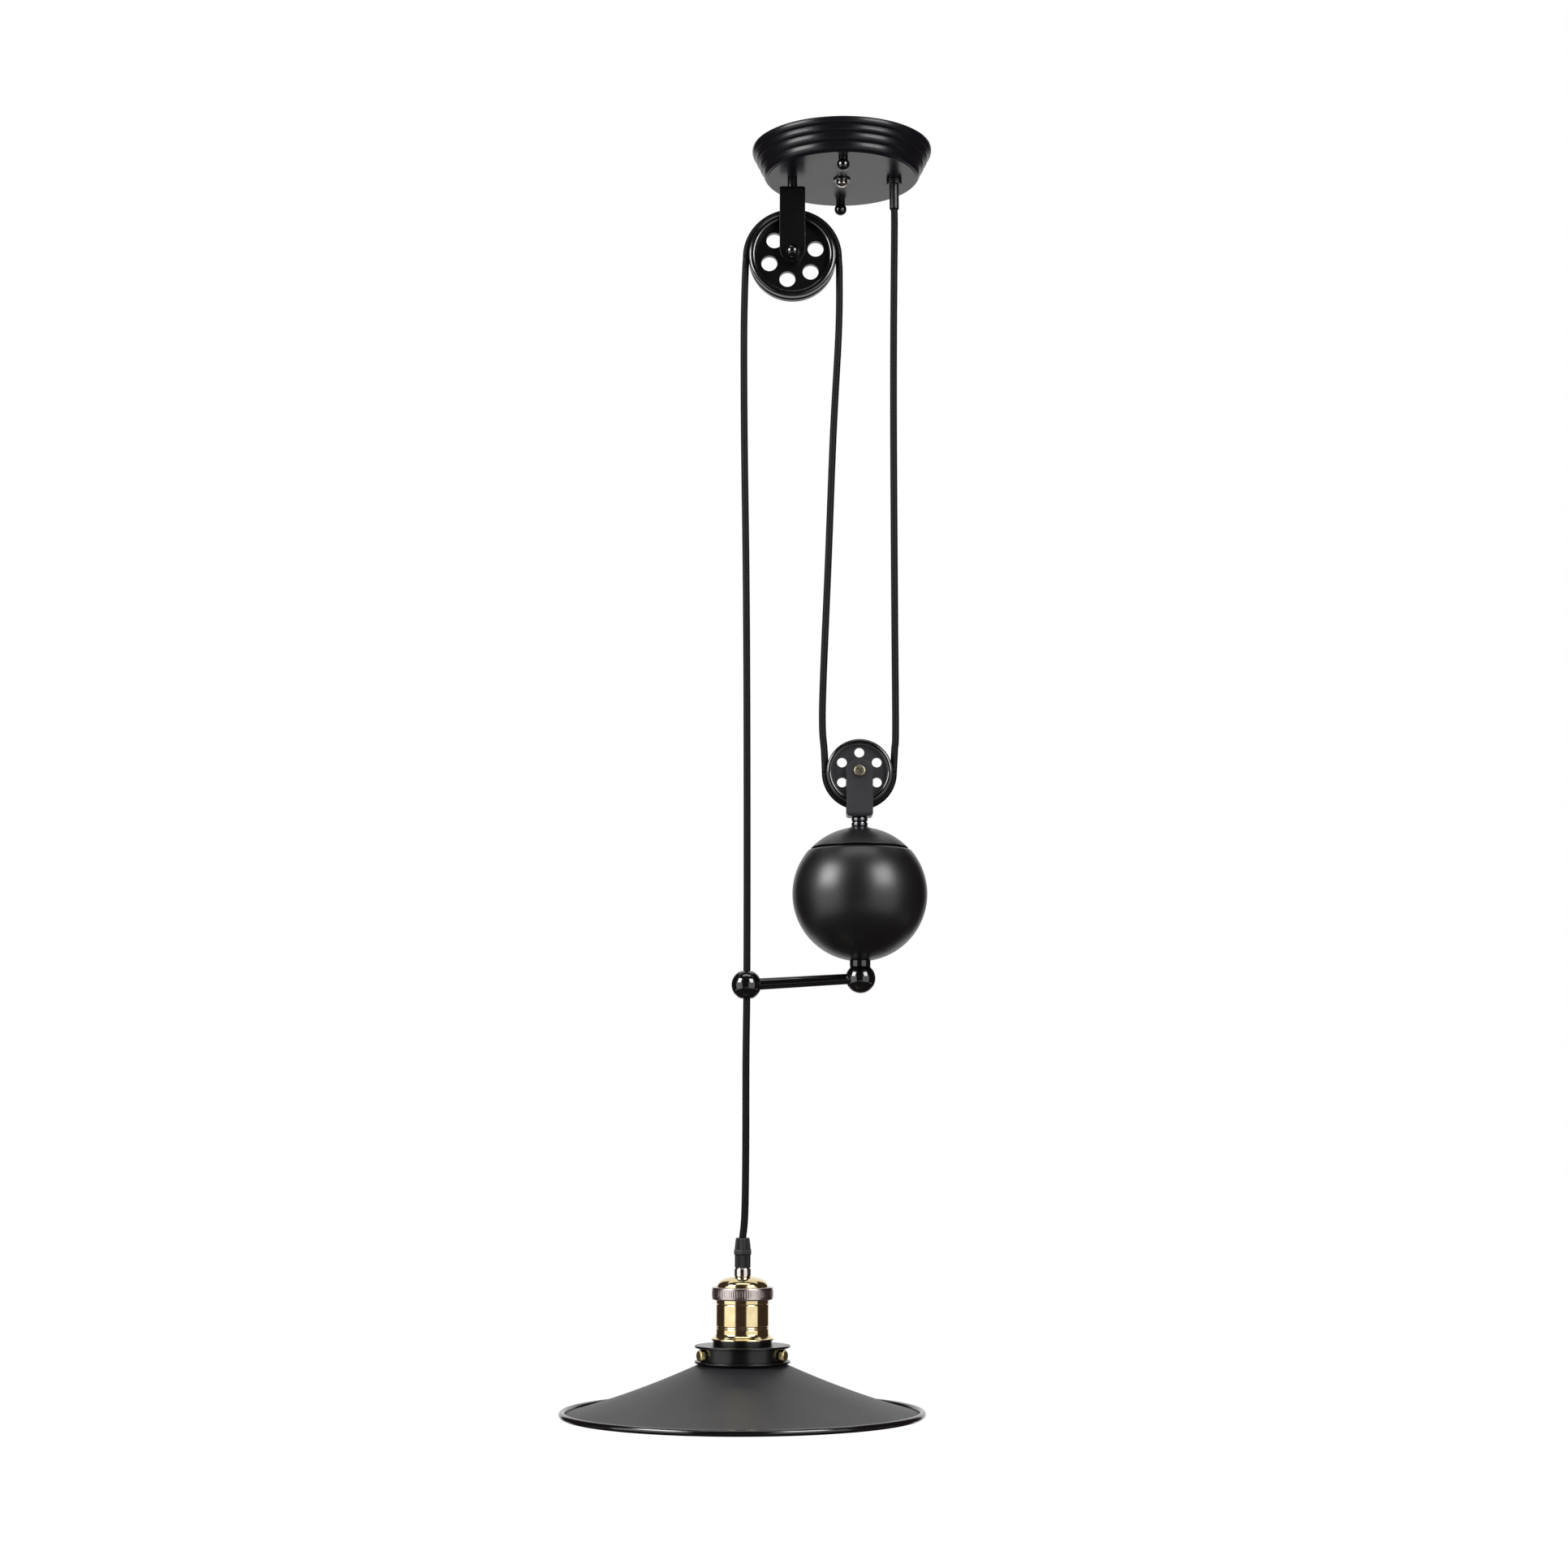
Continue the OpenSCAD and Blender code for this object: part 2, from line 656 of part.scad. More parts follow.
// A strap bent to a U, with its axle along Y at the origin and its bridge above.
module fork(gap, drop, lift, axle_d, stem_d) difference() {
    half = gap / 2 + fork_t;
    intersection() {
        rotate([90, 0, 0]) linear_extrude(2 * (half + past), center = true) {
            polygon([[-fork_w / 2, lift], [fork_w / 2, lift], [fork_w / 2, drop - fork_corner],
                     [fork_w / 2 - fork_corner, drop], [-fork_w / 2 + fork_corner, drop],
                     [-fork_w / 2, drop - fork_corner]]);
            translate([0, lift]) circle(d = fork_w);
        }
        rotate([90, 0, 90]) linear_extrude(fork_w + 2 * past, center = true) difference() {
            arch(half, drop, fork_bend, fork_w);
            arch(gap / 2, drop - fork_t, fork_bend - fork_t, fork_w + past);
        }
    }
    rotate([90, 0, 0]) rod(axle_d / 2 + seat, -half - past, half + past);
    rod(stem_d / 2 + seat, drop - fork_t - past, drop + past);
}

// The side view of a U: straight sides, round upper corners and a foot below 0.
module arch(half, top, bend, foot) {
    translate([-half, -foot]) square([2 * half, top + foot - bend]);
    translate([-half + bend, -foot]) square([2 * (half - bend), top + foot]);
    for (side = [-1, 1]) translate([side * (half - bend), top - bend]) circle(r = bend);
}

module upper_fork() color(black) translate([-hanger_x, 0, upper_z])
    fork(upper_gap, upper_drop, ear_lift, upper_axle_d, hanger_d);

upper_axle_half = upper_gap / 2 + fork_t + dome_nut_grip;

module upper_axle() color(steel) across(-hanger_x, upper_z)
    rod(upper_axle_d / 2, -upper_axle_half, upper_axle_half);

// Closed hexagon nuts on both ends of the axle.
module upper_dome_nuts() color(black) across(-hanger_x, upper_z) for (side = [0, 1])
    mirror([0, 0, side]) translate([0, 0, upper_gap / 2 + fork_t]) difference() {
        union() {
            cylinder(d = dome_nut_af / cos(30), h = dome_nut_h, $fn = 6);
            translate([0, 0, dome_nut_h]) intersection() {
                sphere(r = dome_nut_af / 2 - dome_nut_edge);
                rod(dome_nut_af, 0, dome_nut_af);
            }
        }
        rod(upper_axle_d / 2 + seat, -past, dome_nut_grip + seat);
    }

// Washers that keep a hub between the ears of a fork.
module washers(axle_d, gap) for (side = [0, 1]) mirror([0, 0, side])
    tube(axle_d / 2 + washer_border, axle_d / 2 + fit, gap / 2 - washer_t, gap / 2);

module upper_washers() color(steel) across(-hanger_x, upper_z) washers(upper_axle_d, upper_gap);

// ---------------------------------------------------------------- wheels

// A grooved wheel about Z: hub, web with six holes, and a rim with the cord's groove.
module sheave(wheel_d, wrap_r, width, rim_t, bore_r, hole_d, hole_edge, first) {
    wheel_r = wheel_d / 2;
    rim_r = wheel_r - rim_t;
    hole_ring = rim_r - hole_edge - hole_d / 2;
    difference() {
        rotate_extrude() difference() {
            union() {
                translate([bore_r, -width / 2]) square([hub_wall, width]);
                translate([bore_r, -web_t / 2]) square([rim_r + past - bore_r, web_t]);
                band(rim_r, wheel_r, -width / 2, width / 2, rim_edge);
            }
            translate([wrap_r, 0]) circle(r = cord_d / 2 + cord_play);
        }
        for (i = [0 : 5]) rotate([0, 0, first + 60 * i]) translate([hole_ring, 0, 0])
            rod(hole_d / 2, -web_t, web_t);
    }
}

module upper_wheel() color(black) across(-hanger_x, upper_z)
    sheave(upper_wheel_d, upper_wrap_r, upper_wheel_w, upper_rim_t,
           upper_axle_d / 2 + axle_play + bush_wall + seat, upper_hole_d,
           upper_hole_edge, upper_first);

module lower_wheel() color(black) across(weight_x, lower_z)
    sheave(lower_wheel_d, lower_wrap_r, lower_wheel_w, lower_rim_t,
           lower_axle_d / 2 + axle_play + bush_wall + seat, lower_hole_d,
           lower_hole_edge, lower_first);

// A plain brass bush, as long as its wheel is wide.
module bush(axle_d, width)
    tube(axle_d / 2 + axle_play + bush_wall, axle_d / 2 + axle_play, -width / 2, width / 2);

module upper_bush() color(brass) across(-hanger_x, upper_z) bush(upper_axle_d, upper_wheel_w);

module lower_bush() color(brass) across(weight_x, lower_z) bush(lower_axle_d, lower_wheel_w);

// ---------------------------------------------------------------- cord

// Half a turn of cord over a wheel, or under it when side is -1.
module wrap(x, z, radius, side) color(soft_black) translate([x, 0, z])
    rotate([90, 0, 0]) rotate([0, 0, side > 0 ? 0 : 180])
        rotate_extrude(angle = 180) translate([radius, 0]) circle(d = cord_d);

module cord_upper_wrap() wrap(-hanger_x, upper_z, upper_wrap_r, 1);
module cord_lower_wrap() wrap(weight_x, lower_z, lower_wrap_r, -1);

// A smooth curve through four points, at t from 0 to 1 between the middle two.
function blend(a, b, c, d, t) =
    0.5 * (2 * b + (c - a) * t + (2 * a - 5 * b + 4 * c - d) * t * t
           + (3 * b - a - 3 * c + d) * t * t * t);

// Points along a route, no further apart than about ring_step.
function along(route) =
    let (last = len(route) - 1)
    concat([for (i = [0 : last - 1])
                let (steps = max(1, round(norm(route[i + 1] - route[i]) / ring_step)))
                for (k = [0 : steps - 1])
                    blend(route[max(i - 1, 0)], route[i], route[i + 1],
                          route[min(i + 2, last)], k / steps)],
           [route[last]]);

// The direction of the curve at point i, level with neither end: both ends point down.
function heading(points, i) =
    i == 0 || i == len(points) - 1 ? [0, -1]
    : (points[i + 1] - points[i - 1]) / norm(points[i + 1] - points[i - 1]);

// A tube of cord swept along a route in the plane of the wheels.
module leg(route) color(soft_black) {
    points = along(route);
    rings = len(points);
    corners = [for (i = [0 : rings - 1]) let (way = heading(points, i))
                   for (k = [0 : cord_sides - 1]) let (a = 360 * k / cord_sides)
                       [points[i][0] - cord_d / 2 * cos(a) * way[1],
                        cord_d / 2 * sin(a),
                        points[i][1] + cord_d / 2 * cos(a) * way[0]]];
    sides = [for (i = [0 : rings - 2], k = [0 : cord_sides - 1])
                 let (n = (k + 1) % cord_sides, a = i * cord_sides, b = a + cord_sides)
                 each [[a + k, a + n, b + n], [a + k, b + n, b + k]]];
    last = (rings - 1) * cord_sides;
    top = [for (k = [1 : cord_sides - 2]) [0, k + 1, k]];
    foot = [for (k = [1 : cord_sides - 2]) [last, last + k, last + k + 1]];
    polyhedron(corners, concat(sides, top, foot));
}

module cord_left_leg() leg(left_route);
module cord_middle_leg() leg(middle_route);
module cord_right_leg() leg(right_route);

// ---------------------------------------------------------------- counterweight

module lower_fork() color(black) translate([weight_x, 0, lower_z]) mirror([0, 0, 1])
    fork(lower_gap, lower_drop, 0, lower_axle_d, tie_rod_d);

// A pan-head screw with a cross recess, from the front.
module lower_axle_screw() color(nickel) across(weight_x, lower_z) difference() {
    union() {
        rod(lower_axle_d / 2, -lower_ear - lower_nut_h - thread_past_nut, lower_ear + past);
        rotate_extrude() band(0, pan_r, lower_ear, lower_ear + pan_h, pan_edge);
    }
    for (turn = [45, 135]) rotate([0, 0, turn])
        translate([-recess_l / 2, -recess_w / 2, lower_ear + pan_h - recess_t])
            cube([recess_l, recess_w, recess_t + past]);
}

module lower_axle_nut() color(steel) across(weight_x, lower_z)
    hex_nut(lower_nut_af, lower_axle_d + 2 * seat, -lower_ear - lower_nut_h, -lower_ear);

module lower_washers() color(steel) across(weight_x, lower_z) washers(lower_axle_d, lower_gap);

// A rounded collar on the tie rod.
module neck_piece(z_low, z_high) at_weight() difference() {
    rotate_extrude() band(0, neck_d / 2, z_low, z_high, neck_edge);
    rod(tie_rod_d / 2 + seat, z_low - past, z_high + past);
}

module neck_nut() color(black) neck_piece(collar_top_z, fork_foot_z);
module neck_collar() color(black) neck_piece(weight_top_z, collar_top_z);

module tie_rod() color(steel) at_weight() rod(tie_rod_d / 2, arm_z, fork_foot_z + fork_t);

module tie_rod_hole(z_low, z_high) rod(tie_rod_d / 2 + fit, z_low, z_high);

// Keeps what is above or below a height.
module above(z) intersection() {
    children();
    rod(weight_d, z, z + weight_d);
}

module below(z) intersection() {
    children();
    rod(weight_d, z - 2 * weight_d, z);
}

// The lid: a cap of the ball with a flat on top and a skirt inside the shell's mouth.
module weight_lid() color(black) at_weight() difference() {
    union() {
        above(seam_z) translate([0, 0, weight_z]) difference() {
            sphere(r = lid_r);
            sphere(r = lid_r - weight_wall);
        }
        rod(neck_d / 2 + lid_flat_border, weight_top_z - lid_flat_t, weight_top_z);
        tube(skirt_r, skirt_r - weight_wall, seam_z - lid_skirt_h, seam_z + past);
    }
    tie_rod_hole(seam_z, weight_top_z + past);
}

module weight_shell() color(black) at_weight() difference() {
    below(seam_z) translate([0, 0, weight_z]) sphere(r = weight_r);
    translate([0, 0, weight_z]) sphere(r = hollow_r);
    tie_rod_hole(weight_z - weight_r - past, weight_z);
}

module weight_ballast() color(steel) at_weight() difference() {
    below(weight_z - hollow_r + ballast_h) translate([0, 0, weight_z]) sphere(r = hollow_r - seat);
    tie_rod_hole(weight_z - weight_r, weight_z + weight_r);
}

// The short neck between the two balls, hollowed to sit on both.
module weight_foot() color(black) at_weight() difference() {
    rod(foot_d / 2, arm_z, weight_z);
    translate([0, 0, weight_z]) sphere(r = weight_r + seat);
    translate([0, 0, arm_z]) sphere(r = arm_ball_r + seat);
    tie_rod_hole(arm_z, weight_z);
}

// The arm as a tapered bar, thicker all round by extra.
module arm_bar(extra)
    bar(arm_from + arm_way * (arm_ball_r - rod_in_arm), arm_to - arm_way * rod_off_guide,
        rod_thin_d + 2 * extra, rod_thick_d + 2 * extra);

module arm_rod() color(black) arm_bar(0);

module arm_ball() color(black) difference() {
    translate(arm_from) sphere(r = arm_ball_r);
    at_weight() rod(tie_rod_d / 2 + seat, arm_z, weight_z);
    arm_bar(seat);
}

module guide_ball() color(black) difference() {
    translate(arm_to) sphere(r = arm_ball_r);
    translate([guide_x, 0, 0]) rod(guide_hole_d / 2, guide_z - arm_ball_r, guide_z + arm_ball_r);
    arm_bar(seat);
}

// ---------------------------------------------------------------- lamp holder

// The upper half of the lamp's cord grip: a tapered nose on a hexagon.
module grip_nut() color(soft_black) at_lamp() difference() {
    union() {
        translate([0, 0, grip_body_z + grip_hex_h])
            cylinder(r1 = nipple_d / 2, r2 = nipple_d / 2 - grip_nose_taper, h = grip_nut_h - grip_hex_h);
        translate([0, 0, grip_body_z])
            cylinder(r = nipple_d / 2 + grip_hex_border, h = grip_hex_h, $fn = 6);
    }
    rod(grip_bore_d / 2, grip_body_z - past, grip_top_z + past);
}

module grip_body() color(soft_black) at_lamp() difference() {
    rod(nipple_d / 2 - grip_body_inset, nipple_z, grip_body_z);
    rod(grip_bore_d / 2, nipple_z - past, grip_body_z + past);
    rod(nipple_thread_d / 2 + seat, nipple_z - past, nipple_z + nipple_up + seat);
}

module holder_nipple() color(steel) at_lamp() difference() {
    union() {
        rotate_extrude() band(0, nipple_d / 2, dome_z, nipple_z, nipple_edge);
        rod(nipple_thread_d / 2, dome_z - nipple_down, nipple_z + nipple_up);
    }
    rod(nipple_bore_d / 2, dome_z - nipple_down - past, nipple_z + nipple_up + past);
}

// The dome's outline: a quarter of an ellipse from the nipple out to the ring.
function dome_outline(inset) =
    [for (k = [0 : dome_steps]) let (a = 90 * k / dome_steps)
         [crown_r + (dome_r - inset - crown_r) * sin(a), ring_z + (dome_h - inset) * cos(a)]];

// The brass top of the holder, with a skirt that the ring goes round.
module holder_dome() color(brass) at_lamp() difference() {
    rotate_extrude() polygon(concat(
        [[0, dome_z]], dome_outline(0), [[dome_r, shell_z + seat], [dome_r - brass_wall, shell_z + seat]],
        [for (k = [0 : dome_steps]) dome_outline(brass_wall)[dome_steps - k]], [[0, dome_z - brass_wall]]));
    rod(nipple_thread_d / 2 + seat, dome_z - nipple_down, dome_z + past);
}

module holder_ring() color(brass) at_lamp() difference() {
    rotate_extrude() band(0, ring_d / 2, shell_z, ring_z, ring_edge);
    rod(dome_r + seat, shell_z - past, ring_z + past);
}

// The brass shell: a tube with two fine grooves and a flared foot.
module holder_shell() color(brass) at_lamp() difference() {
    rotate_extrude() polygon([
        [shell_r - brass_wall, gallery_z], [flare_d / 2, gallery_z], [flare_d / 2, gallery_z + flare_edge_h],
        [shell_r + (flare_d / 2 - shell_r) * 0.4, gallery_z + flare_h * 0.6],
        [shell_r, gallery_z + flare_h], [shell_r, shell_z], [shell_r - brass_wall, shell_z]]);
    for (z = [gallery_z + flare_h + groove_from_end, shell_z - groove_from_end])
        tube(shell_r + past, shell_r - groove_in, z - groove_h / 2, z + groove_h / 2);
}

// The porcelain body inside the shell, with a threaded collar below it.
module porcelain_insert() color(white) at_lamp() difference() {
    union() {
        rod(insert_r, gallery_z, insert_z);
        rod(collar_r, collar_z, gallery_z);
        rod(boss_r, insert_z, boss_z);
    }
    rod(socket_r + socket_wall + seat, collar_z - past, cavity_z);
    for (side = [-1, 1]) translate([side * terminal_x, 0, 0])
        rod(terminal_d / 2 + seat, boss_z - terminal_depth, boss_z + past);
}

// The shell that the bulb screws into, open below and with a hole above.
module screw_shell() color(nickel) at_lamp() {
    tube(socket_r + socket_wall, socket_r, socket_foot_z, socket_top_z);
    tube(socket_r + socket_wall, socket_r * 0.6, socket_top_z, socket_top_z + socket_wall);
}

module centre_contact() color(brass) at_lamp() {
    rod(socket_r * 0.4, cavity_z - contact_t, cavity_z);
    translate([0, 0, cavity_z - contact_t]) below(0) sphere(r = contact_r);
}

// Two screws that each clamp a core on the boss.
module holder_terminals() color(brass) at_lamp() for (side = [-1, 1])
    translate([side * terminal_x, 0, 0]) {
        rod(terminal_head_d / 2, boss_z + core_d, boss_z + core_d + terminal_head_h);
        rod(terminal_d / 2, boss_z - terminal_depth + seat, boss_z + core_d);
    }

module lamp_cord() color(soft_black) at_lamp() rod(cord_d / 2, lamp_cord_z, grip_top_z);

// Each core goes down, round a bend and out along the boss to its screw.
module lamp_cores() color(copper) at_lamp() for (side = [0, 1]) mirror([side, 0, 0]) {
    start_x = core_pitch / 2 + fit;
    level = boss_z + core_d / 2;
    end_x = terminal_x - terminal_d / 2 - seat;
    translate([start_x, 0, 0]) rod(core_d / 2, level + core_bend_r, lamp_cord_z);
    translate([start_x + core_bend_r, 0, level + core_bend_r])
        rotate([90, 0, 0]) bend(core_bend_r, 180, 90, core_d);
    bar([start_x + core_bend_r, 0, level], [end_x, 0, level], core_d, core_d);
}

// ---------------------------------------------------------------- gallery and shade

// The black gallery: a step on the holder, a shoulder, a waist and two flanges.
module gallery() color(black) at_lamp() difference() {
    rotate_extrude() {
        translate([collar_r + fit, gallery_z - sheet]) square([step_r - collar_r - fit, sheet]);
        translate([step_r - sheet, shoulder_z - sheet]) square([sheet, gallery_step_h + sheet]);
        band(step_r - sheet, gallery_r, shoulder_z - flange_t, shoulder_z, flange_edge);
        translate([waist_r - sheet, gallery_foot_z]) square([sheet, gallery_h]);
        band(waist_r - sheet, gallery_r, gallery_foot_z, gallery_foot_z + flange_t, flange_edge);
    }
    at_gallery_screws() rod(gallery_screw_d / 2 + seat, 0, gallery_r);
}

// Puts a shape that was made along Z on each gallery screw's axis, pointing outwards.
module at_gallery_screws() for (turn = gallery_angles)
    rotate([0, 0, turn]) translate([0, 0, gallery_screw_z]) rotate([0, 90, 0]) children();

// Screws with slotted round heads, whose tips meet the shade's neck under its lip.
module gallery_screws() color(brass) at_lamp() at_gallery_screws() difference() {
    union() {
        rod(gallery_screw_d / 2, neck_r + seat, waist_r + past);
        rod(gallery_head_d / 2, waist_r + gallery_head_gap, head_end_r);
    }
    translate([-gallery_head_d, -head_slot_w / 2, head_end_r - head_slot_t])
        cube([2 * gallery_head_d, head_slot_w, head_slot_t + past]);
}

// The ring on the porcelain's thread that clamps the gallery to the holder.
module gallery_ring() color(soft_black) at_lamp() {
    tube(step_r - sheet - fit, collar_r + seat, shoulder_z - flange_t - ring_gap, gallery_z - sheet);
    tube(step_r + ring_border, collar_r + seat, collar_z + ring_gap, shoulder_z - flange_t - ring_gap);
}

// A shallow cone with a short neck above and a rolled bead round its rim.
module shade() color(soft_black) at_lamp() rotate_extrude()
    polygon(concat(
        [[neck_r - shade_wall, neck_top_z], [neck_r + neck_lip, neck_top_z],
         [neck_r + neck_lip, neck_top_z - neck_lip_h], [neck_r, neck_top_z - neck_lip_h]],
        [for (k = [0 : cone_steps - 1]) flank_point(k / cone_steps)],
        bead_outline(),
        [for (k = [cone_steps - 1 : -1 : 0]) flank_point(k / cone_steps) - [0, shade_drop_t]],
        [[neck_r - shade_wall, cone_z - shade_drop_t]]));

function flank_point(part) = [neck_r + part * cone_w, cone_z - shade_fall(part)];

// The bead's outline, over its top from where the sheet runs into it and round to there.
function bead_outline() =
    let (sheet_turn = asin(shade_wall / rim_bead_d), from = bead_at - sheet_turn,
         turn = 360 - 2 * sheet_turn, middle = [cone_r, rim_z - shade_drop_t + bead_r - bead_sink])
    [for (k = [0 : bead_steps]) let (a = from - turn * k / bead_steps)
         middle + bead_r * [cos(a), sin(a)]];

ceiling_strap();
canopy_screws();
canopy();
ball_nuts();
centre_stud();
centre_washer();
centre_nut();
terminal_block();
terminal_screws();
canopy_grip();
grip_lock_nut();
canopy_cord();
canopy_cores();
hanger_stem();
hanger_nuts();
hanger_washer();
upper_fork();
upper_axle();
upper_dome_nuts();
upper_washers();
cord_upper_wrap();
cord_left_leg();
cord_middle_leg();
cord_right_leg();
upper_wheel();
upper_bush();
lower_fork();
lower_axle_screw();
lower_axle_nut();
lower_washers();
cord_lower_wrap();
neck_nut();
neck_collar();
tie_rod();
weight_lid();
weight_shell();
weight_ballast();
weight_foot();
arm_ball();
arm_rod();
guide_ball();
lower_wheel();
lower_bush();
grip_nut();
grip_body();
holder_nipple();
holder_dome();
holder_ring();
holder_shell();
porcelain_insert();
screw_shell();
centre_contact();
holder_terminals();
lamp_cord();
lamp_cores();
gallery();
gallery_screws();
gallery_ring();
shade();
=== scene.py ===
# %% [markdown]
# # A rise and fall pendant
# A lamp hangs on one cord. The cord runs over a wheel under the ceiling and under the wheel
# of a heavy ball, so the lamp stays at any height. The CAD model already holds every piece at
# its real place and size. This script dresses it: it sets a camera and a studio, makes the
# finishes, and lays fine surfaces over the pieces that show.

# %% Load the fixed frame
import json
import math

import bmesh
import bpy
import numpy as np
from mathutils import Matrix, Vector


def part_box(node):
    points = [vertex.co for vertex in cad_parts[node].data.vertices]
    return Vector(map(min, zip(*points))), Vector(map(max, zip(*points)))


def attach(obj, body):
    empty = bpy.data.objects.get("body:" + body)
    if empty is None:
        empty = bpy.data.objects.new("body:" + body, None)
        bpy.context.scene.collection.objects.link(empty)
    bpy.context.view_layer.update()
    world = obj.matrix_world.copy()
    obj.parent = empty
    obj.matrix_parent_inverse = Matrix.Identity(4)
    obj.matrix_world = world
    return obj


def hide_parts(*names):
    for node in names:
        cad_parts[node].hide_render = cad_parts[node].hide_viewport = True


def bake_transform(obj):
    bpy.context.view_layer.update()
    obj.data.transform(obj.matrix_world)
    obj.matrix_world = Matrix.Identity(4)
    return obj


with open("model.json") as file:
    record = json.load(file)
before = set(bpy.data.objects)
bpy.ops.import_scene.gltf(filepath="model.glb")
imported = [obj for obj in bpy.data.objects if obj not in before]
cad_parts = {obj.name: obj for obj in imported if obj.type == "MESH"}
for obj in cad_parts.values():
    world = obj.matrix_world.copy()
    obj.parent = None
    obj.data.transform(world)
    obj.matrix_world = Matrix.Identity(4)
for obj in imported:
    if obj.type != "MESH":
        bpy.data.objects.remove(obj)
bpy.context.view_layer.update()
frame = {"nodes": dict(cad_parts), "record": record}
MM = 0.001
TURN = 2 * math.pi

# %% [markdown]
# Every piece rides on a body from the record. A small table turns a node's name into its
# body, so no piece has to repeat it.

# %% Where each node belongs
body_of = {node: body for body, nodes in frame["record"]["behaviour"]["bodies"].items() for node in nodes}


def place(node):
    """The middle and the half size of a CAD node's box, in millimetres."""
    low, high = (np.array(corner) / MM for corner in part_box(node))
    return (low + high) / 2, (high - low) / 2


print("lamp's shade, middle and half size in mm:", *place("shade"))

# %% [markdown]
# ## The camera
# The photograph was taken from just above the lamp's own height, looking slightly up, so the
# canopy is seen from below and the shade from above. A 59.4 mm lens on a 36 mm wide, square
# frame gives the same perspective.

# %% Set up the camera
CAMERA_AT = (-0.0421, -1.8066, -0.7151)
LOOKS_UP = math.radians(7.85)
lens = bpy.data.cameras.new("photo_lens")
lens.sensor_width = 36
lens.lens = 59.44
camera = bpy.data.objects.new("photo_camera", lens)
camera.location = CAMERA_AT
camera.rotation_euler = (math.pi / 2 + LOOKS_UP, 0, 0)
bpy.context.collection.objects.link(camera)
bpy.context.scene.camera = camera
print("camera looks up by", round(math.degrees(LOOKS_UP), 2), "degrees")

# %% [markdown]
# ## Colours and shader nodes
# A screen colour is written as sRGB hex, and a shader wants linear light, so one function
# turns one into the other. One more function adds any shader node, sets it and links it.

# %% Helpers for finishes
def linear(hex_colour):
    """sRGB hex to linear RGBA: c / 12.92 below 0.04045, else ((c + 0.055) / 1.055) ^ 2.4."""
    c = np.array([int(hex_colour[i:i + 2], 16) / 255 for i in (1, 3, 5)])
    return (*np.where(c <= 0.04045, c / 12.92, ((c + 0.055) / 1.055) ** 2.4), 1.0)


def add(tree, kind, inputs=None, **settings):
    """Adds a shader node, sets its properties, and fills or links its inputs."""
    new = tree.nodes.new(kind)
    for name, value in settings.items():
        setattr(new, name, value)
    for key, value in (inputs or {}).items():
        if isinstance(value, bpy.types.NodeSocket):
            tree.links.new(value, new.inputs[key])
        else:
            new.inputs[key].default_value = value
    return new


def per_mm(size):
    """The texture scale at which one cell is so many millimetres, on coordinates in metres."""
    return 1 / (size * MM)


def start_finish(name, roughness, metallic=0.0, **constants):
    """A new material with its constants set on the shader's own sockets."""
    made = bpy.data.materials.new(name)
    made.use_nodes = True
    shader = made.node_tree.nodes["Principled BSDF"]
    shader.inputs["Roughness"].default_value = roughness
    shader.inputs["Metallic"].default_value = metallic
    for socket, value in constants.items():
        shader.inputs[socket.replace("_", " ")].default_value = value
    return made, made.node_tree, shader


def two_tone(tree, shader, dark, light, factor):
    """Mixes two colours by a factor and feeds the base colour."""
    mix = add(tree, "ShaderNodeMix", {0: factor, 6: linear(dark), 7: linear(light)}, data_type="RGBA")
    tree.links.new(mix.outputs[2], shader.inputs["Base Color"])


def vary_roughness(tree, shader, factor, low, high):
    """Moves the roughness between two values with a factor from 0 to 1."""
    spread = add(tree, "ShaderNodeMapRange", {0: factor, 3: low, 4: high})
    tree.links.new(spread.outputs[0], shader.inputs["Roughness"])


def relief(tree, shader, height, depth_mm):
    """Gives the surface a relief of that depth."""
    bump = add(tree, "ShaderNodeBump", {"Height": height, "Distance": depth_mm * MM, "Strength": 1.0})
    tree.links.new(bump.outputs[0], shader.inputs["Normal"])


print("white turns to", linear("#ffffff"))

# %% [markdown]
# ## Painted steel
# The canopy, forks, ball and shade are steel sprayed with black paint and baked. Up close such
# paint has an orange-peel skin of soft bumps about a millimetre across, and where it is satin
# the peel spreads each highlight. The tone drifts a little over a few centimetres. The lower
# fork and wheel get a lighter grey: a painted reflection on the same black paint. The wheels'
# rims are polished, and the ball's inner skirt is painted near-black and dull as painted shade.

# %% Paint finishes
PAINT_DRIFT_MM = 38
PAINT_GLOSS_DRIFT = 0.05


def paint(name, dark, light, roughness, peel_mm, peel_depth_mm, specular=0.5):
    """Baked paint: two near tones, and orange peel as a fine relief."""
    made, tree, shader = start_finish(name, roughness, Specular_IOR_Level=specular)
    where = add(tree, "ShaderNodeTexCoord").outputs["Object"]
    drift = add(tree, "ShaderNodeTexNoise",
                {"Vector": where, "Scale": per_mm(PAINT_DRIFT_MM), "Detail": 3.0})
    two_tone(tree, shader, dark, light, drift.outputs[0])
    vary_roughness(tree, shader, drift.outputs[0],
                   roughness - PAINT_GLOSS_DRIFT, roughness + PAINT_GLOSS_DRIFT)
    peel = add(tree, "ShaderNodeTexNoise", {"Vector": where, "Scale": per_mm(peel_mm), "Detail": 2.0})
    relief(tree, shader, peel.outputs[0], peel_depth_mm)
    return made


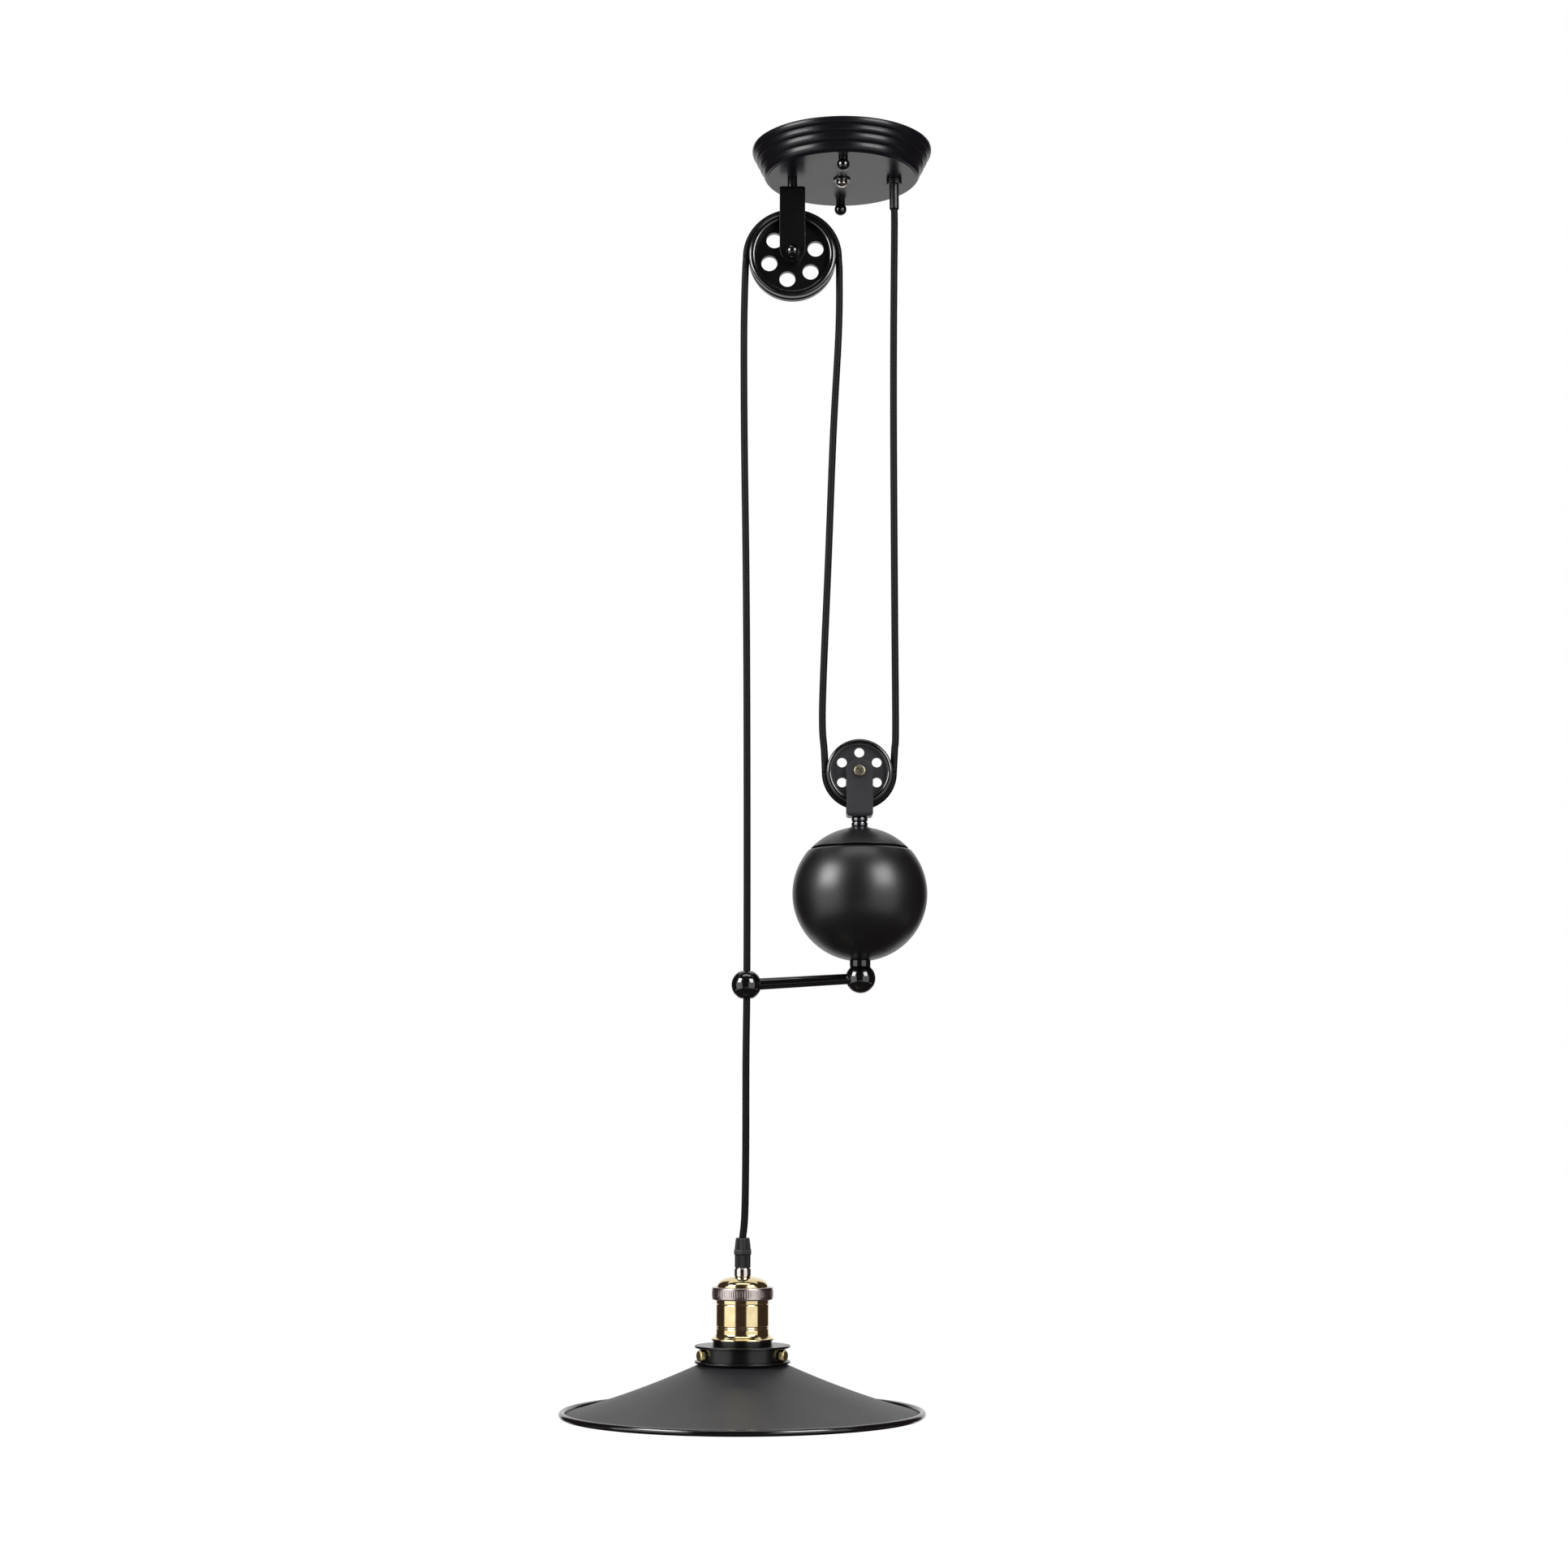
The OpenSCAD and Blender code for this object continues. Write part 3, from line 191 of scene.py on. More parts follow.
satin_paint = paint("satin_black_paint", "#08080a", "#0e0e12", 0.36, 1.1, 0.02, 0.7)
gloss_paint = paint("gloss_black_paint", "#060607", "#0b0b0c", 0.10, 1.4, 0.006, 1.0)
shade_paint = paint("matt_black_shade_paint", "#0e0f19", "#141522", 0.52, 0.9, 0.02, 0.8)
canopy_paint = paint("black_canopy_paint", "#0d0d13", "#13131b", 0.27, 1.2, 0.02, 0.32)
wheel_paint = paint("black_wheel_paint", "#09090a", "#0f0f10", 0.26, 0.8, 0.015, 0.4)
rim_paint = paint("polished_black_rim_paint", "#060607", "#0b0b0c", 0.16, 1.4, 0.002, 1.0)
# A lighter grey for the lower fork and wheel: a painted reflection on the same black paint.
reflection_grey_paint = paint("grey_black_paint_with_painted_reflection", "#2b2b2f", "#3a3a40", 0.38, 0.8, 0.03, 0.5)
# Near-black and dull for the lid's skirt: painted shade that darkens the seam.
skirt_shade_paint = paint("skirt_painted_shade", "#030303", "#060606", 0.85, 1.0, 0.01, 0.1)
print("paints:", [made.name for made in (satin_paint, gloss_paint, shade_paint, canopy_paint,
                                         wheel_paint, rim_paint, reflection_grey_paint, skirt_shade_paint)])

# %% [markdown]
# ## Bare metals
# The lamp holder is spun brass, pale gold and a little darker where the patina lies. The two
# collars over the ball are black nickel, the lower axle's screw is nickel gone dull, and the
# nipple is bright nickel. Hidden fasteners are zinc-plated steel. Metals differ by colour and
# by how much they blur what they mirror.

# %% Metal finishes
ROUGH_IN_PATINA, ROUGH_WHERE_RUBBED = 1.3, 0.7


def metal(name, dark, light, roughness, patch_mm, grain_mm=0.5, grain_depth_mm=0.003):
    """Bare metal: patina in patches, and a fine grain that frosts the gloss."""
    made, tree, shader = start_finish(name, roughness, metallic=1.0)
    where = add(tree, "ShaderNodeTexCoord").outputs["Object"]
    patina = add(tree, "ShaderNodeTexNoise",
                 {"Vector": where, "Scale": per_mm(patch_mm), "Detail": 5.0})
    two_tone(tree, shader, dark, light, patina.outputs[0])
    vary_roughness(tree, shader, patina.outputs[0],
                   roughness * ROUGH_IN_PATINA, roughness * ROUGH_WHERE_RUBBED)
    grain = add(tree, "ShaderNodeTexNoise", {"Vector": where, "Scale": per_mm(grain_mm), "Detail": 2.0})
    relief(tree, shader, grain.outputs[0], grain_depth_mm)
    return made


aged_brass = metal("aged_spun_brass", "#cdb079", "#fbf0c2", 0.12, 9)
ring_brass = metal("dark_knurled_brass", "#a2958f", "#d8cdcb", 0.24, 5)
screw_brass = metal("bright_turned_brass", "#dcc27c", "#fbefbc", 0.26, 4)
black_nickel = metal("black_nickel_plate", "#66676b", "#88898d", 0.16, 3)
dull_nickel = metal("dulled_nickel_plate", "#8a8471", "#aaa48c", 0.35, 3)
nickel = metal("nickel_plate", "#c9c7c0", "#e6e5e1", 0.10, 6)
zinc = metal("zinc_plated_steel", "#8e9094", "#b0b2b4", 0.30, 4)
iron = metal("cast_iron", "#2c2b2a", "#45413d", 0.55, 6, 0.8, 0.08)
print("metals:", [made.name for made in (aged_brass, ring_brass, screw_brass, black_nickel,
                                         dull_nickel, nickel, zinc, iron)])

# %% [markdown]
# ## Plastic, porcelain and wire
# The cord grips are moulded black plastic with a faint spark-eroded texture. The lamp's insert
# is glazed porcelain, and the terminal block a pale moulded plastic.

# %% Moulded and glazed finishes
def moulded(name, dark, light, roughness, grain_mm, grain_depth_mm):
    """Moulded plastic or glaze: near tones over a fine relief."""
    made, tree, shader = start_finish(name, roughness)
    where = add(tree, "ShaderNodeTexCoord").outputs["Object"]
    grain = add(tree, "ShaderNodeTexNoise", {"Vector": where, "Scale": per_mm(grain_mm), "Detail": 4.0})
    two_tone(tree, shader, dark, light, grain.outputs[0])
    relief(tree, shader, grain.outputs[0], grain_depth_mm)
    return made


black_plastic = moulded("moulded_black_plastic", "#050506", "#0c0c0d", 0.36, 0.5, 0.01)
pale_plastic = moulded("moulded_pale_plastic", "#dcd8cc", "#e8e5db", 0.45, 0.6, 0.01)
porcelain = moulded("glazed_porcelain", "#e4e0d6", "#f0ede6", 0.12, 7, 0.02)
core_sheath = moulded("core_sheath", "#7a4a2c", "#8c5836", 0.4, 0.8, 0.01)
print("mouldings:", black_plastic.name, pale_plastic.name, porcelain.name, core_sheath.name)

# %% [markdown]
# ## Braided cord
# The flex has a black cotton braid: strands wind both ways round it and cross. On the cord's
# own UV map, where U goes once round and V runs along it in metres, the two sets are the sines
# of (strands x U + V / pitch) and (strands x U - V / pitch), and the higher one lies on top.
# A real strand is 0.6 mm wide; it is drawn 1.3 mm wide so that it shows at all.

# %% Braid finish
STRANDS = 6
BRAID_PITCH_MM = 2.6
BRAID_DEPTH_MM = 0.06


def braid_finish():
    """Black braid: strand relief from two crossing sines, and painted shade darkening the gaps."""
    made, tree, shader = start_finish("black_cotton_braid", 0.50, Sheen_Weight=0.01,
                                      Specular_IOR_Level=0.14)
    uv_map = add(tree, "ShaderNodeUVMap", uv_map="UVMap")
    split = add(tree, "ShaderNodeSeparateXYZ", {0: uv_map.outputs[0]})
    around = add(tree, "ShaderNodeMath", {0: split.outputs[0], 1: TURN * STRANDS}, operation="MULTIPLY")
    along = add(tree, "ShaderNodeMath", {0: split.outputs[1], 1: TURN * per_mm(BRAID_PITCH_MM)},
                operation="MULTIPLY")
    strands = []
    for crossing in ("ADD", "SUBTRACT"):
        phase = add(tree, "ShaderNodeMath", {0: around.outputs[0], 1: along.outputs[0]},
                    operation=crossing)
        strands.append(add(tree, "ShaderNodeMath", {0: phase.outputs[0]}, operation="SINE").outputs[0])
    top = add(tree, "ShaderNodeMath", {0: strands[0], 1: strands[1]}, operation="MAXIMUM")
    height = add(tree, "ShaderNodeMapRange", {0: top.outputs[0], 1: -0.6, 2: 1.0})
    # The darker tone where the strands dip is painted shade in the gaps.
    two_tone(tree, shader, "#030304", "#0e0e10", height.outputs[0])
    relief(tree, shader, height.outputs[0], BRAID_DEPTH_MM)
    return made


braid = braid_finish()
print("cord:", braid.name)

# %% [markdown]
# ## Surfaces from arrays
# A turned piece is an outline carried round an axis, and a cord is a ring carried along a
# path. Both are grids of points, so one function turns any grid into a mesh with a UV map:
# U counts columns from 0 to 1, and V is the length along the rows in metres.

# %% Helpers for surfaces
def skin(name, grid, close_rows=False):
    """A mesh over a grid of points in metres, rows x columns x 3, closed round the columns."""
    rows, columns = grid.shape[:2]
    i, j = np.meshgrid(np.arange(rows if close_rows else rows - 1), np.arange(columns), indexing="ij")
    i, j = i.ravel(), j.ravel()
    i2, j2 = (i + 1) % rows, (j + 1) % columns
    quads = np.stack([i * columns + j, i * columns + j2, i2 * columns + j2, i2 * columns + j], 1)
    faces = quads.tolist()
    if not close_rows:
        faces += [list(range(columns))[::-1], list(range((rows - 1) * columns, rows * columns))]
    mesh = bpy.data.meshes.new(name)
    mesh.from_pydata(grid.reshape(-1, 3).tolist(), [], faces)
    step = np.linalg.norm(np.roll(grid, -1, 0) - grid, axis=2).mean(1)
    length = np.concatenate([[0], np.cumsum(step)])
    u = np.stack([j, j + 1, j + 1, j], 1) / columns
    v = np.stack([length[i], length[i], length[i + 1], length[i + 1]], 1)
    uv = np.zeros((len(mesh.loops), 2))
    uv[:quads.size] = np.stack([u.ravel(), v.ravel()], 1)
    mesh.uv_layers.new(name="UVMap").data.foreach_set("uv", uv.ravel())
    work = bmesh.new()
    work.from_mesh(mesh)
    bmesh.ops.remove_doubles(work, verts=work.verts, dist=1e-7)
    bmesh.ops.recalc_face_normals(work, faces=work.faces)
    work.to_mesh(mesh)
    work.free()
    mesh.polygons.foreach_set("use_smooth", np.ones(len(mesh.polygons), bool))
    made = bpy.data.objects.new(name, mesh)
    bpy.context.collection.objects.link(made)
    return made


def rounded(corners, steps=5):
    """A closed outline with round corners, from rows of (radius, height, fillet) in mm.
    Each corner P becomes a parabola (1-s)^2 A + 2 s (1-s) P + s^2 B, where A and B lie on
    its two sides, one fillet away but never past 0.45 of the side."""
    table = np.array(corners, float)
    p, fillet = table[:, :2], table[:, 2:]
    ends = []
    for way in (np.roll(p, 1, 0) - p, np.roll(p, -1, 0) - p):
        size = np.linalg.norm(way, axis=1, keepdims=True)
        ends.append(p + way / size * np.minimum(fillet, 0.45 * size))
    s = np.linspace(0, 1, steps)[None, :, None]
    curve = (1 - s) ** 2 * ends[0][:, None] + 2 * s * (1 - s) * p[:, None] + s ** 2 * ends[1][:, None]
    return curve.reshape(-1, 2)


def arc(radius, middle, start, stop, steps=48):
    """Points of a circle round (0, middle), by angle in degrees from the top."""
    a = np.radians(np.linspace(start, stop, steps))
    return np.stack([radius * np.sin(a), middle + radius * np.cos(a)], 1)


def turned(name, outline, at, axis=(0, 0, 1), columns=144, ripple=None):
    """A closed outline (r, h) in mm carried round an axis through a point, also in mm:
    the point goes to at + (r + ripple) (cos a, sin a) across the axis and h along it."""
    up = np.array(axis, float) / np.linalg.norm(axis)
    side = np.cross((0, 1, 0) if abs(up[1]) < 0.9 else (1, 0, 0), up)
    side /= np.linalg.norm(side)
    front = np.cross(up, side)
    a = np.linspace(0, TURN, columns, endpoint=False)[None, :]
    r, h = outline[:, :1], outline[:, 1:]
    if ripple is not None:
        r = r + ripple(a, r, h)
    grid = np.array(at) + (r * np.cos(a))[..., None] * side + (r * np.sin(a))[..., None] * front \
        + (h + 0 * a)[..., None] * up
    return skin(name, grid * MM, close_rows=True)


print("a 10 mm arc from pole to pole has", len(arc(10, 0, 0, 180)), "points")

# %% [markdown]
# A piece is finished in one go: it gets its material, soft shading that still respects sharp
# edges and its body, and the CAD node that it stands for is hidden. A CAD node whose shape is
# already right only needs a copy with merged corners and slightly rounded edges, because no
# real edge is perfectly sharp, and a rounded one catches the light.

# %% Helpers for finishing pieces
def even_shading(piece):
    """Weights normals by face area, so that flats stay flat beside their round edges."""
    smooth = piece.modifiers.new("even_shading", "WEIGHTED_NORMAL")
    smooth.keep_sharp = True


def finish(piece, material, *nodes):
    """Material, shading and body, and hides the CAD nodes that the piece stands for."""
    piece.data.materials.append(material)
    even_shading(piece)
    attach(piece, body_of[nodes[0]])
    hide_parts(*nodes)
    return piece


def eased(node, material, edge_mm=0.3):
    """A copy of a CAD node with merged corners and every edge above 35 degrees eased."""
    mesh = frame["nodes"][node].data.copy()
    mesh.name = node + "_eased"
    work = bmesh.new()
    work.from_mesh(mesh)
    bmesh.ops.remove_doubles(work, verts=work.verts, dist=1e-6)
    bmesh.ops.dissolve_limit(work, angle_limit=math.radians(0.5), verts=work.verts, edges=work.edges)
    work.to_mesh(mesh)
    work.free()
    mesh.polygons.foreach_set("use_smooth", np.ones(len(mesh.polygons), bool))
    mesh.materials.clear()
    piece = bpy.data.objects.new(node + "_eased", mesh)
    bpy.context.collection.objects.link(piece)
    ease = piece.modifiers.new("eased_edges", "BEVEL")
    ease.width = edge_mm * MM
    ease.segments = 2
    ease.limit_method = "ANGLE"
    ease.angle_limit = math.radians(35)
    return finish(piece, material, node)


def dress(material, *nodes):
    """Gives CAD nodes that stay as they are a better material."""
    for node in nodes:
        slots = frame["nodes"][node].data.materials
        slots.clear()
        slots.append(material)


print("helpers ready")

# %% [markdown]
# ## The canopy
# The canopy is a shallow steel dish, spun over a former: its side has four soft ridges, each
# an arc between two pressed lines, and its face is flat. It is turned from one outline, out
# along the ridges, in across the face, and back along the inner wall.

# %% Turn the canopy
canopy_at, canopy_half = place("canopy")
RIDGES_AT = (0, 0.24, 0.46, 0.72, 1)
RIDGE_BULGE = 1.1
CANOPY_WALL = 1.2
CANOPY_TAPER = 11
canopy_r, canopy_deep = canopy_half[0] - 0.1, 2 * canopy_half[2]
face_r = canopy_r - CANOPY_TAPER


def ridge_line(steps=9):
    """The side's outline: a parabola 4 b t (1 - t) off the straight side for each ridge."""
    along = np.array([face_r - canopy_r, -canopy_deep])
    out = np.array([canopy_deep, face_r - canopy_r]) / np.linalg.norm(along)
    t = np.linspace(0, 1, steps, endpoint=False)
    shares = [a + (b - a) * t for a, b in zip(RIDGES_AT, RIDGES_AT[1:])]
    bulge = (4 * RIDGE_BULGE * t * (1 - t))[:, None] * out
    return np.vstack([np.array([canopy_r, 0]) + s[:, None] * along + bulge for s in shares])


inner_face = CANOPY_WALL - canopy_deep
face_edge = rounded([(face_r, -canopy_deep, 0.8), (0, -canopy_deep, 0), (0, inner_face, 0),
                     (face_r - CANOPY_WALL, inner_face, 0.8), (canopy_r - CANOPY_WALL, 0, 0)])
canopy_outline = np.vstack([ridge_line(), face_edge])
canopy = turned("spun_canopy", canopy_outline, (canopy_at[0], canopy_at[1], 0), columns=192)
finish(canopy, canopy_paint, "canopy")
print("canopy:", round(2 * canopy_r), "mm wide,", round(canopy_deep, 1), "mm deep")

# %% [markdown]
# ## What is fixed to the canopy
# Two round nuts hold the dish to the strap above it, and a bright nut on a dark washer sits in
# the middle. The hanger's stem and the cord grip pass through the face.

# %% Dress the canopy's fittings
eased("ball_nuts", gloss_paint, 0.2)
eased("centre_washer", gloss_paint, 0.3)
eased("centre_nut", nickel, 0.2)
eased("canopy_grip", black_plastic, 0.4)
eased("hanger_stem", wheel_paint, 0.3)
eased("hanger_nuts", zinc, 0.3)
eased("ceiling_strap", zinc, 0.3)
dress(zinc, "canopy_screws", "centre_stud", "hanger_washer")
dress(black_plastic, "grip_lock_nut")
dress(pale_plastic, "terminal_block")
dress(screw_brass, "terminal_screws")
dress(core_sheath, "canopy_cores", "lamp_cores")
print("canopy fittings dressed")

# %% [markdown]
# ## Forks, wheels and axles
# Each fork is a strap bent to a U and painted. The wheels are cast with a groove for the cord,
# six holes to save weight, and a turned hub that runs on a brass bush. Their CAD shapes hold
# all of that, so they are copied with eased edges. Each rim is cast half-round on both faces,
# which is why it shows a thin bright arc: a ring with half an ellipse as its outline adds it.
# The lower fork and wheel take the lighter grey paint, which is a painted reflection.

# %% Dress forks, wheels and axles
eased("upper_fork", wheel_paint, 0.5)
# The lower fork's lighter grey is a painted reflection.
eased("lower_fork", reflection_grey_paint, 0.5)
eased("upper_wheel", wheel_paint, 0.35)
# The lower wheel's lighter grey is a painted reflection.
eased("lower_wheel", reflection_grey_paint, 0.3)
UPPER_RIM_T, LOWER_RIM_T = 5, 4
RIM_RISE = 0.6
RIM_SUNK = 0.7
RIM_SHARE = 0.42


def round_rims(node, rim_t):
    """Half an ellipse on each face of a wheel's rim: it takes a share of the rim to each side,
    starts a little below the face and stands a little above it."""
    middle, half = place(node)
    a = np.radians(np.linspace(180, 0, 15))
    outline = np.stack([half[0] - rim_t / 2 + RIM_SHARE * rim_t * np.cos(a),
                        half[1] - RIM_SUNK + (RIM_RISE + RIM_SUNK) * np.sin(a)], 1)
    for side, face in ((-1, "front"), (1, "back")):
        rim = turned(f"{node}_rim_{face}", outline, middle, axis=(0, side, 0), columns=128)
        finish(rim, rim_paint, node)


round_rims("upper_wheel", UPPER_RIM_T)
round_rims("lower_wheel", LOWER_RIM_T)
eased("upper_dome_nuts", gloss_paint, 0.3)
eased("lower_axle_screw", dull_nickel, 0.2)
eased("lower_axle_nut", zinc, 0.3)
eased("upper_washers", zinc, 0.15)
eased("lower_washers", zinc, 0.15)
dress(screw_brass, "upper_bush", "lower_bush")
dress(zinc, "upper_axle", "tie_rod")
print("forks and wheels dressed")

# %% [markdown]
# ## The counterweight
# The ball is two spun shells, closed at a seam high up, with iron inside. The lid is a hair
# smaller than the shell and its skirt reaches down inside. The skirt is painted near-black and
# dull, painted shade that makes the seam show as a dark line.

# %% Turn the ball
ball_at, ball_half = place("weight_shell")
lid_at, lid_half = place("weight_lid")
ball_r = ball_half[0]
ball_z = ball_at[2] - ball_half[2] + ball_r
seam_up = ball_at[2] + ball_half[2] - ball_z
SHELL_WALL = 1.5
SEAM_GAP = 1.6
LID_STEP = 0.4
SKIRT_H = 5
LID_GAP = 0.1
NECK_FLAT = 6.3


def to_angle(radius, height):
    """The angle from the top at which a circle has that height above its middle."""
    return math.degrees(math.acos(height / radius))


shell_edge = seam_up - SEAM_GAP
shell_outline = np.vstack([
    arc(ball_r, 0, to_angle(ball_r, shell_edge), 180, 72),
    arc(ball_r - SHELL_WALL, 0, 180, to_angle(ball_r - SHELL_WALL, shell_edge), 72)])
ball_shell = turned("ball_shell", shell_outline, (ball_at[0], 0, ball_z), columns=192)
finish(ball_shell, satin_paint, "weight_shell")

lid_r = ball_r - LID_STEP
flat_up = lid_at[2] + lid_half[2] - ball_z
lid_edge = seam_up + LID_GAP
skirt_r = math.sqrt((ball_r - SHELL_WALL) ** 2 - seam_up ** 2) - LID_GAP
skirt_in = skirt_r - SHELL_WALL
lid_outline = np.vstack([
    [[0, flat_up], [NECK_FLAT, flat_up]],
    arc(lid_r, 0, math.degrees(math.asin(NECK_FLAT / lid_r)) + 1, to_angle(lid_r, lid_edge), 40),
    arc(lid_r - SHELL_WALL, 0, to_angle(lid_r - SHELL_WALL, lid_edge), 0, 40)])
ball_lid = turned("ball_lid", lid_outline, (lid_at[0], 0, ball_z), columns=192)
finish(ball_lid, satin_paint, "weight_lid")
skirt_outline = rounded([(skirt_in, seam_up, 0), (skirt_r, seam_up, 0),
                         (skirt_r, seam_up - SKIRT_H, 0.4), (skirt_in, seam_up - SKIRT_H, 0.4)])
skirt = turned("ball_lid_skirt", skirt_outline, (lid_at[0], 0, ball_z), columns=128)
# The skirt's near-black paint is painted shade in the seam.
finish(skirt, skirt_shade_paint, "weight_lid")
dress(iron, "weight_ballast")
print("ball:", round(2 * ball_r, 1), "mm across, seam", round(seam_up, 1), "mm above its middle")

# %% [markdown]
# Under the ball hangs a small ball on a neck, and from it an arm leads out to a second ball
# with a hole, which guides the lamp's cord. These are turned steel with gloss paint, so each
# mirrors the two bright lamps as a pair of spots. Over the ball sit two collars of black nickel.

# %% Turn the arm and its balls
eased("neck_nut", black_nickel, 0.3)
eased("neck_collar", black_nickel, 0.3)
eased("weight_foot", gloss_paint, 0.2)
GUIDE_HOLE_R = 4.3
BORE_SHARE, BORE_EASE = 0.9, 0.4
ROD_SUNK = 3
arm_at, arm_half = place("arm_ball")
guide_at, guide_half = place("guide_ball")
arm_ball = turned("arm_ball_turned", arc(arm_half[1], 0, 0, 180, 48), arm_at, columns=96)
finish(arm_ball, gloss_paint, "arm_ball")
hole_angle = math.degrees(math.asin(GUIDE_HOLE_R / guide_half[1]))
bore_end = BORE_SHARE * guide_half[1] - BORE_EASE
guide_outline = np.vstack([
    arc(guide_half[1], 0, hole_angle + 3, 177 - hole_angle, 40),
    [[GUIDE_HOLE_R, -bore_end], [GUIDE_HOLE_R, bore_end]]])
finish(turned("guide_ball_turned", guide_outline, guide_at, columns=96), gloss_paint, "guide_ball")

ROD_THIN_R, ROD_THICK_R = 3.7, 4.1
arm_way = guide_at - arm_at
arm_long = np.linalg.norm(arm_way)
rod_from, rod_to = arm_half[1] - ROD_SUNK, arm_long - guide_half[1] + ROD_SUNK
rod_outline = rounded([(0, rod_from, 0), (ROD_THIN_R, rod_from, 0.4), (ROD_THICK_R, rod_to, 0.4),
                       (0, rod_to, 0)])
arm_rod = turned("arm_rod_turned", rod_outline, arm_at, axis=arm_way, columns=64)
finish(arm_rod, gloss_paint, "arm_rod")
print("arm:", round(arm_long, 1), "mm between the middles of its balls")

# %% [markdown]
# ## The cord
# One flex runs through the whole lamp. Three of its stretches are free: down from the canopy,
# up to the fixed wheel, and down to the lamp. Each one follows the same points as the CAD
# solid, joined by a smooth curve, and keeps its ends upright where it meets a wheel. Each is
# swept once, in its rest shape.

# %% Sweep the cord
CORD_D = 5.0
CORD_R = CORD_D / 2
WHEEL_LEFT, WHEEL_RIGHT = (-69.4, -80.5), (-2.6, -80.5)
LOW_LEFT, LOW_RIGHT = (-13, -458), (35, -458)
GUIDE, GRIP, LAMP_TOP = (-68, -607.3), (38, -44.5), (-70.5, -781)


def marked(top, foot, marks):
    """Marks between two places: how far down, from 0 to 1, and how many cord diameters to
    the right of the straight line. The result is top + (foot - top) x down + (right, 0)."""
    top, foot, marks = np.array(top, float), np.array(foot, float), np.array(marks)
    between = top + (foot - top) * marks[:, :1] + np.stack([marks[:, 1] * CORD_D, 0 * marks[:, 1]], 1)
    return np.vstack([top, between, foot])


LEFT_ROUTE = np.vstack([
    marked(WHEEL_LEFT, GUIDE, [(0.03, -0.17), (0.11, -0.35), (0.25, -0.31), (0.43, -0.08), (0.6, 0.03),
                               (0.83, 0.05)]),
    marked(GUIDE, LAMP_TOP, [(0.3, 0.05), (0.65, 0.22), (0.9, 0.24)])[1:]])
MIDDLE_ROUTE = marked(WHEEL_RIGHT, LOW_LEFT, [(0.04, 0.2), (0.15, 0.3), (0.35, -0.1), (0.6, -0.35),
                                              (0.82, -0.62), (0.91, -0.58), (0.96, -0.21)])
RIGHT_ROUTE = marked(GRIP, LOW_RIGHT, [(0.04, 0.03), (0.23, -0.06), (0.42, -0.04), (0.71, 0.14),
                                       (0.92, 0.3), (0.96, 0.17)])


def smooth_route(points, step=1.5):
    """A Catmull-Rom curve through (x, z) points in mm: between b and c, with neighbours a
    and d, it is (2b + (c-a)t + (2a-5b+4c-d)t^2 + (3b-a-3c+d)t^3) / 2."""
    p = np.array([points[0], *points, points[-1]], float)
    rows = []
    for a, b, c, d in zip(p[:-3], p[1:-2], p[2:-1], p[3:]):
        t = np.linspace(0, 1, max(2, int(np.linalg.norm(c - b) / step)), endpoint=False)[:, None]
        rows.append((2 * b + (c - a) * t + (2 * a - 5 * b + 4 * c - d) * t ** 2
                     + (3 * b - a - 3 * c + d) * t ** 3) / 2)
    return np.vstack(rows + [p[-1:]])


def swept(name, route, sides=24, upright=True):
    """A tube along a route in the wheels' plane: each ring lies across the curve's heading."""
    way = np.gradient(route, axis=0)
    way /= np.linalg.norm(way, axis=1, keepdims=True)
    if upright:
        way[[0, -1]] = (0, -1)
    a = np.linspace(0, TURN, sides, endpoint=False)
    x = route[:, :1] - CORD_R * np.cos(a) * way[:, 1:]
    z = route[:, 1:] + CORD_R * np.cos(a) * way[:, :1]
    y = np.broadcast_to(CORD_R * np.sin(a), x.shape)
    made = skin(name, np.stack([x, y, z], 2) * MM)
    made.data.materials.append(braid)
    return made


def free_stretch(name, points, node):
    """A stretch between the ceiling and a moving body, swept once in its rest shape."""
    route = smooth_route(points)
    piece = swept(name, route)
    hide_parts(node)
    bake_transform(piece)
    return np.linalg.norm(np.diff(route, axis=0), axis=1).sum()


left_mm = free_stretch("cord_to_lamp", LEFT_ROUTE, "cord_left_leg")
middle_mm = free_stretch("cord_between_wheels", MIDDLE_ROUTE, "cord_middle_leg")
right_mm = free_stretch("cord_from_canopy", RIGHT_ROUTE, "cord_right_leg")
print("free cord:", round(left_mm), "+", round(middle_mm), "+", round(right_mm), "mm")

# %% [markdown]
# Over each wheel the cord bends round half a circle, and inside the canopy and the lamp it
# ends in straight pieces that only show from close by.

# %% Wrap the cord round the wheels
def half_turn(name, node, middle, radius, start, stop):
    """A tube round half a circle about a wheel's axle, between two angles in degrees."""
    a = np.radians(np.linspace(start, stop, 72))
    route = np.stack([middle[0] + radius * np.cos(a), middle[1] + radius * np.sin(a)], 1)
    piece = swept(name, route, upright=False)
    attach(piece, body_of[node])
    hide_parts(node)


upper_wrap_r = (WHEEL_RIGHT[0] - WHEEL_LEFT[0]) / 2
lower_wrap_r = (LOW_RIGHT[0] - LOW_LEFT[0]) / 2
half_turn("cord_over_wheel", "cord_upper_wrap", (WHEEL_LEFT[0] + upper_wrap_r, WHEEL_LEFT[1]),
          upper_wrap_r, 180, 0)
half_turn("cord_under_wheel", "cord_lower_wrap", (LOW_LEFT[0] + lower_wrap_r, LOW_LEFT[1]),
          lower_wrap_r, -180, 0)
dress(black_plastic, "canopy_cord", "lamp_cord")
print("wraps:", round(upper_wrap_r, 1), "and", round(lower_wrap_r, 1), "mm in radius")

# %% [markdown]
# ## The lamp's cord grip and nipple
# The grip is moulded in two pieces. A nose with fine flutes screws down on the body, and a
# hexagon between them takes a spanner. Below it a short nickel nipple joins the holder.

# %% Turn the grip and nipple
lamp_x = place("shade")[0][0]


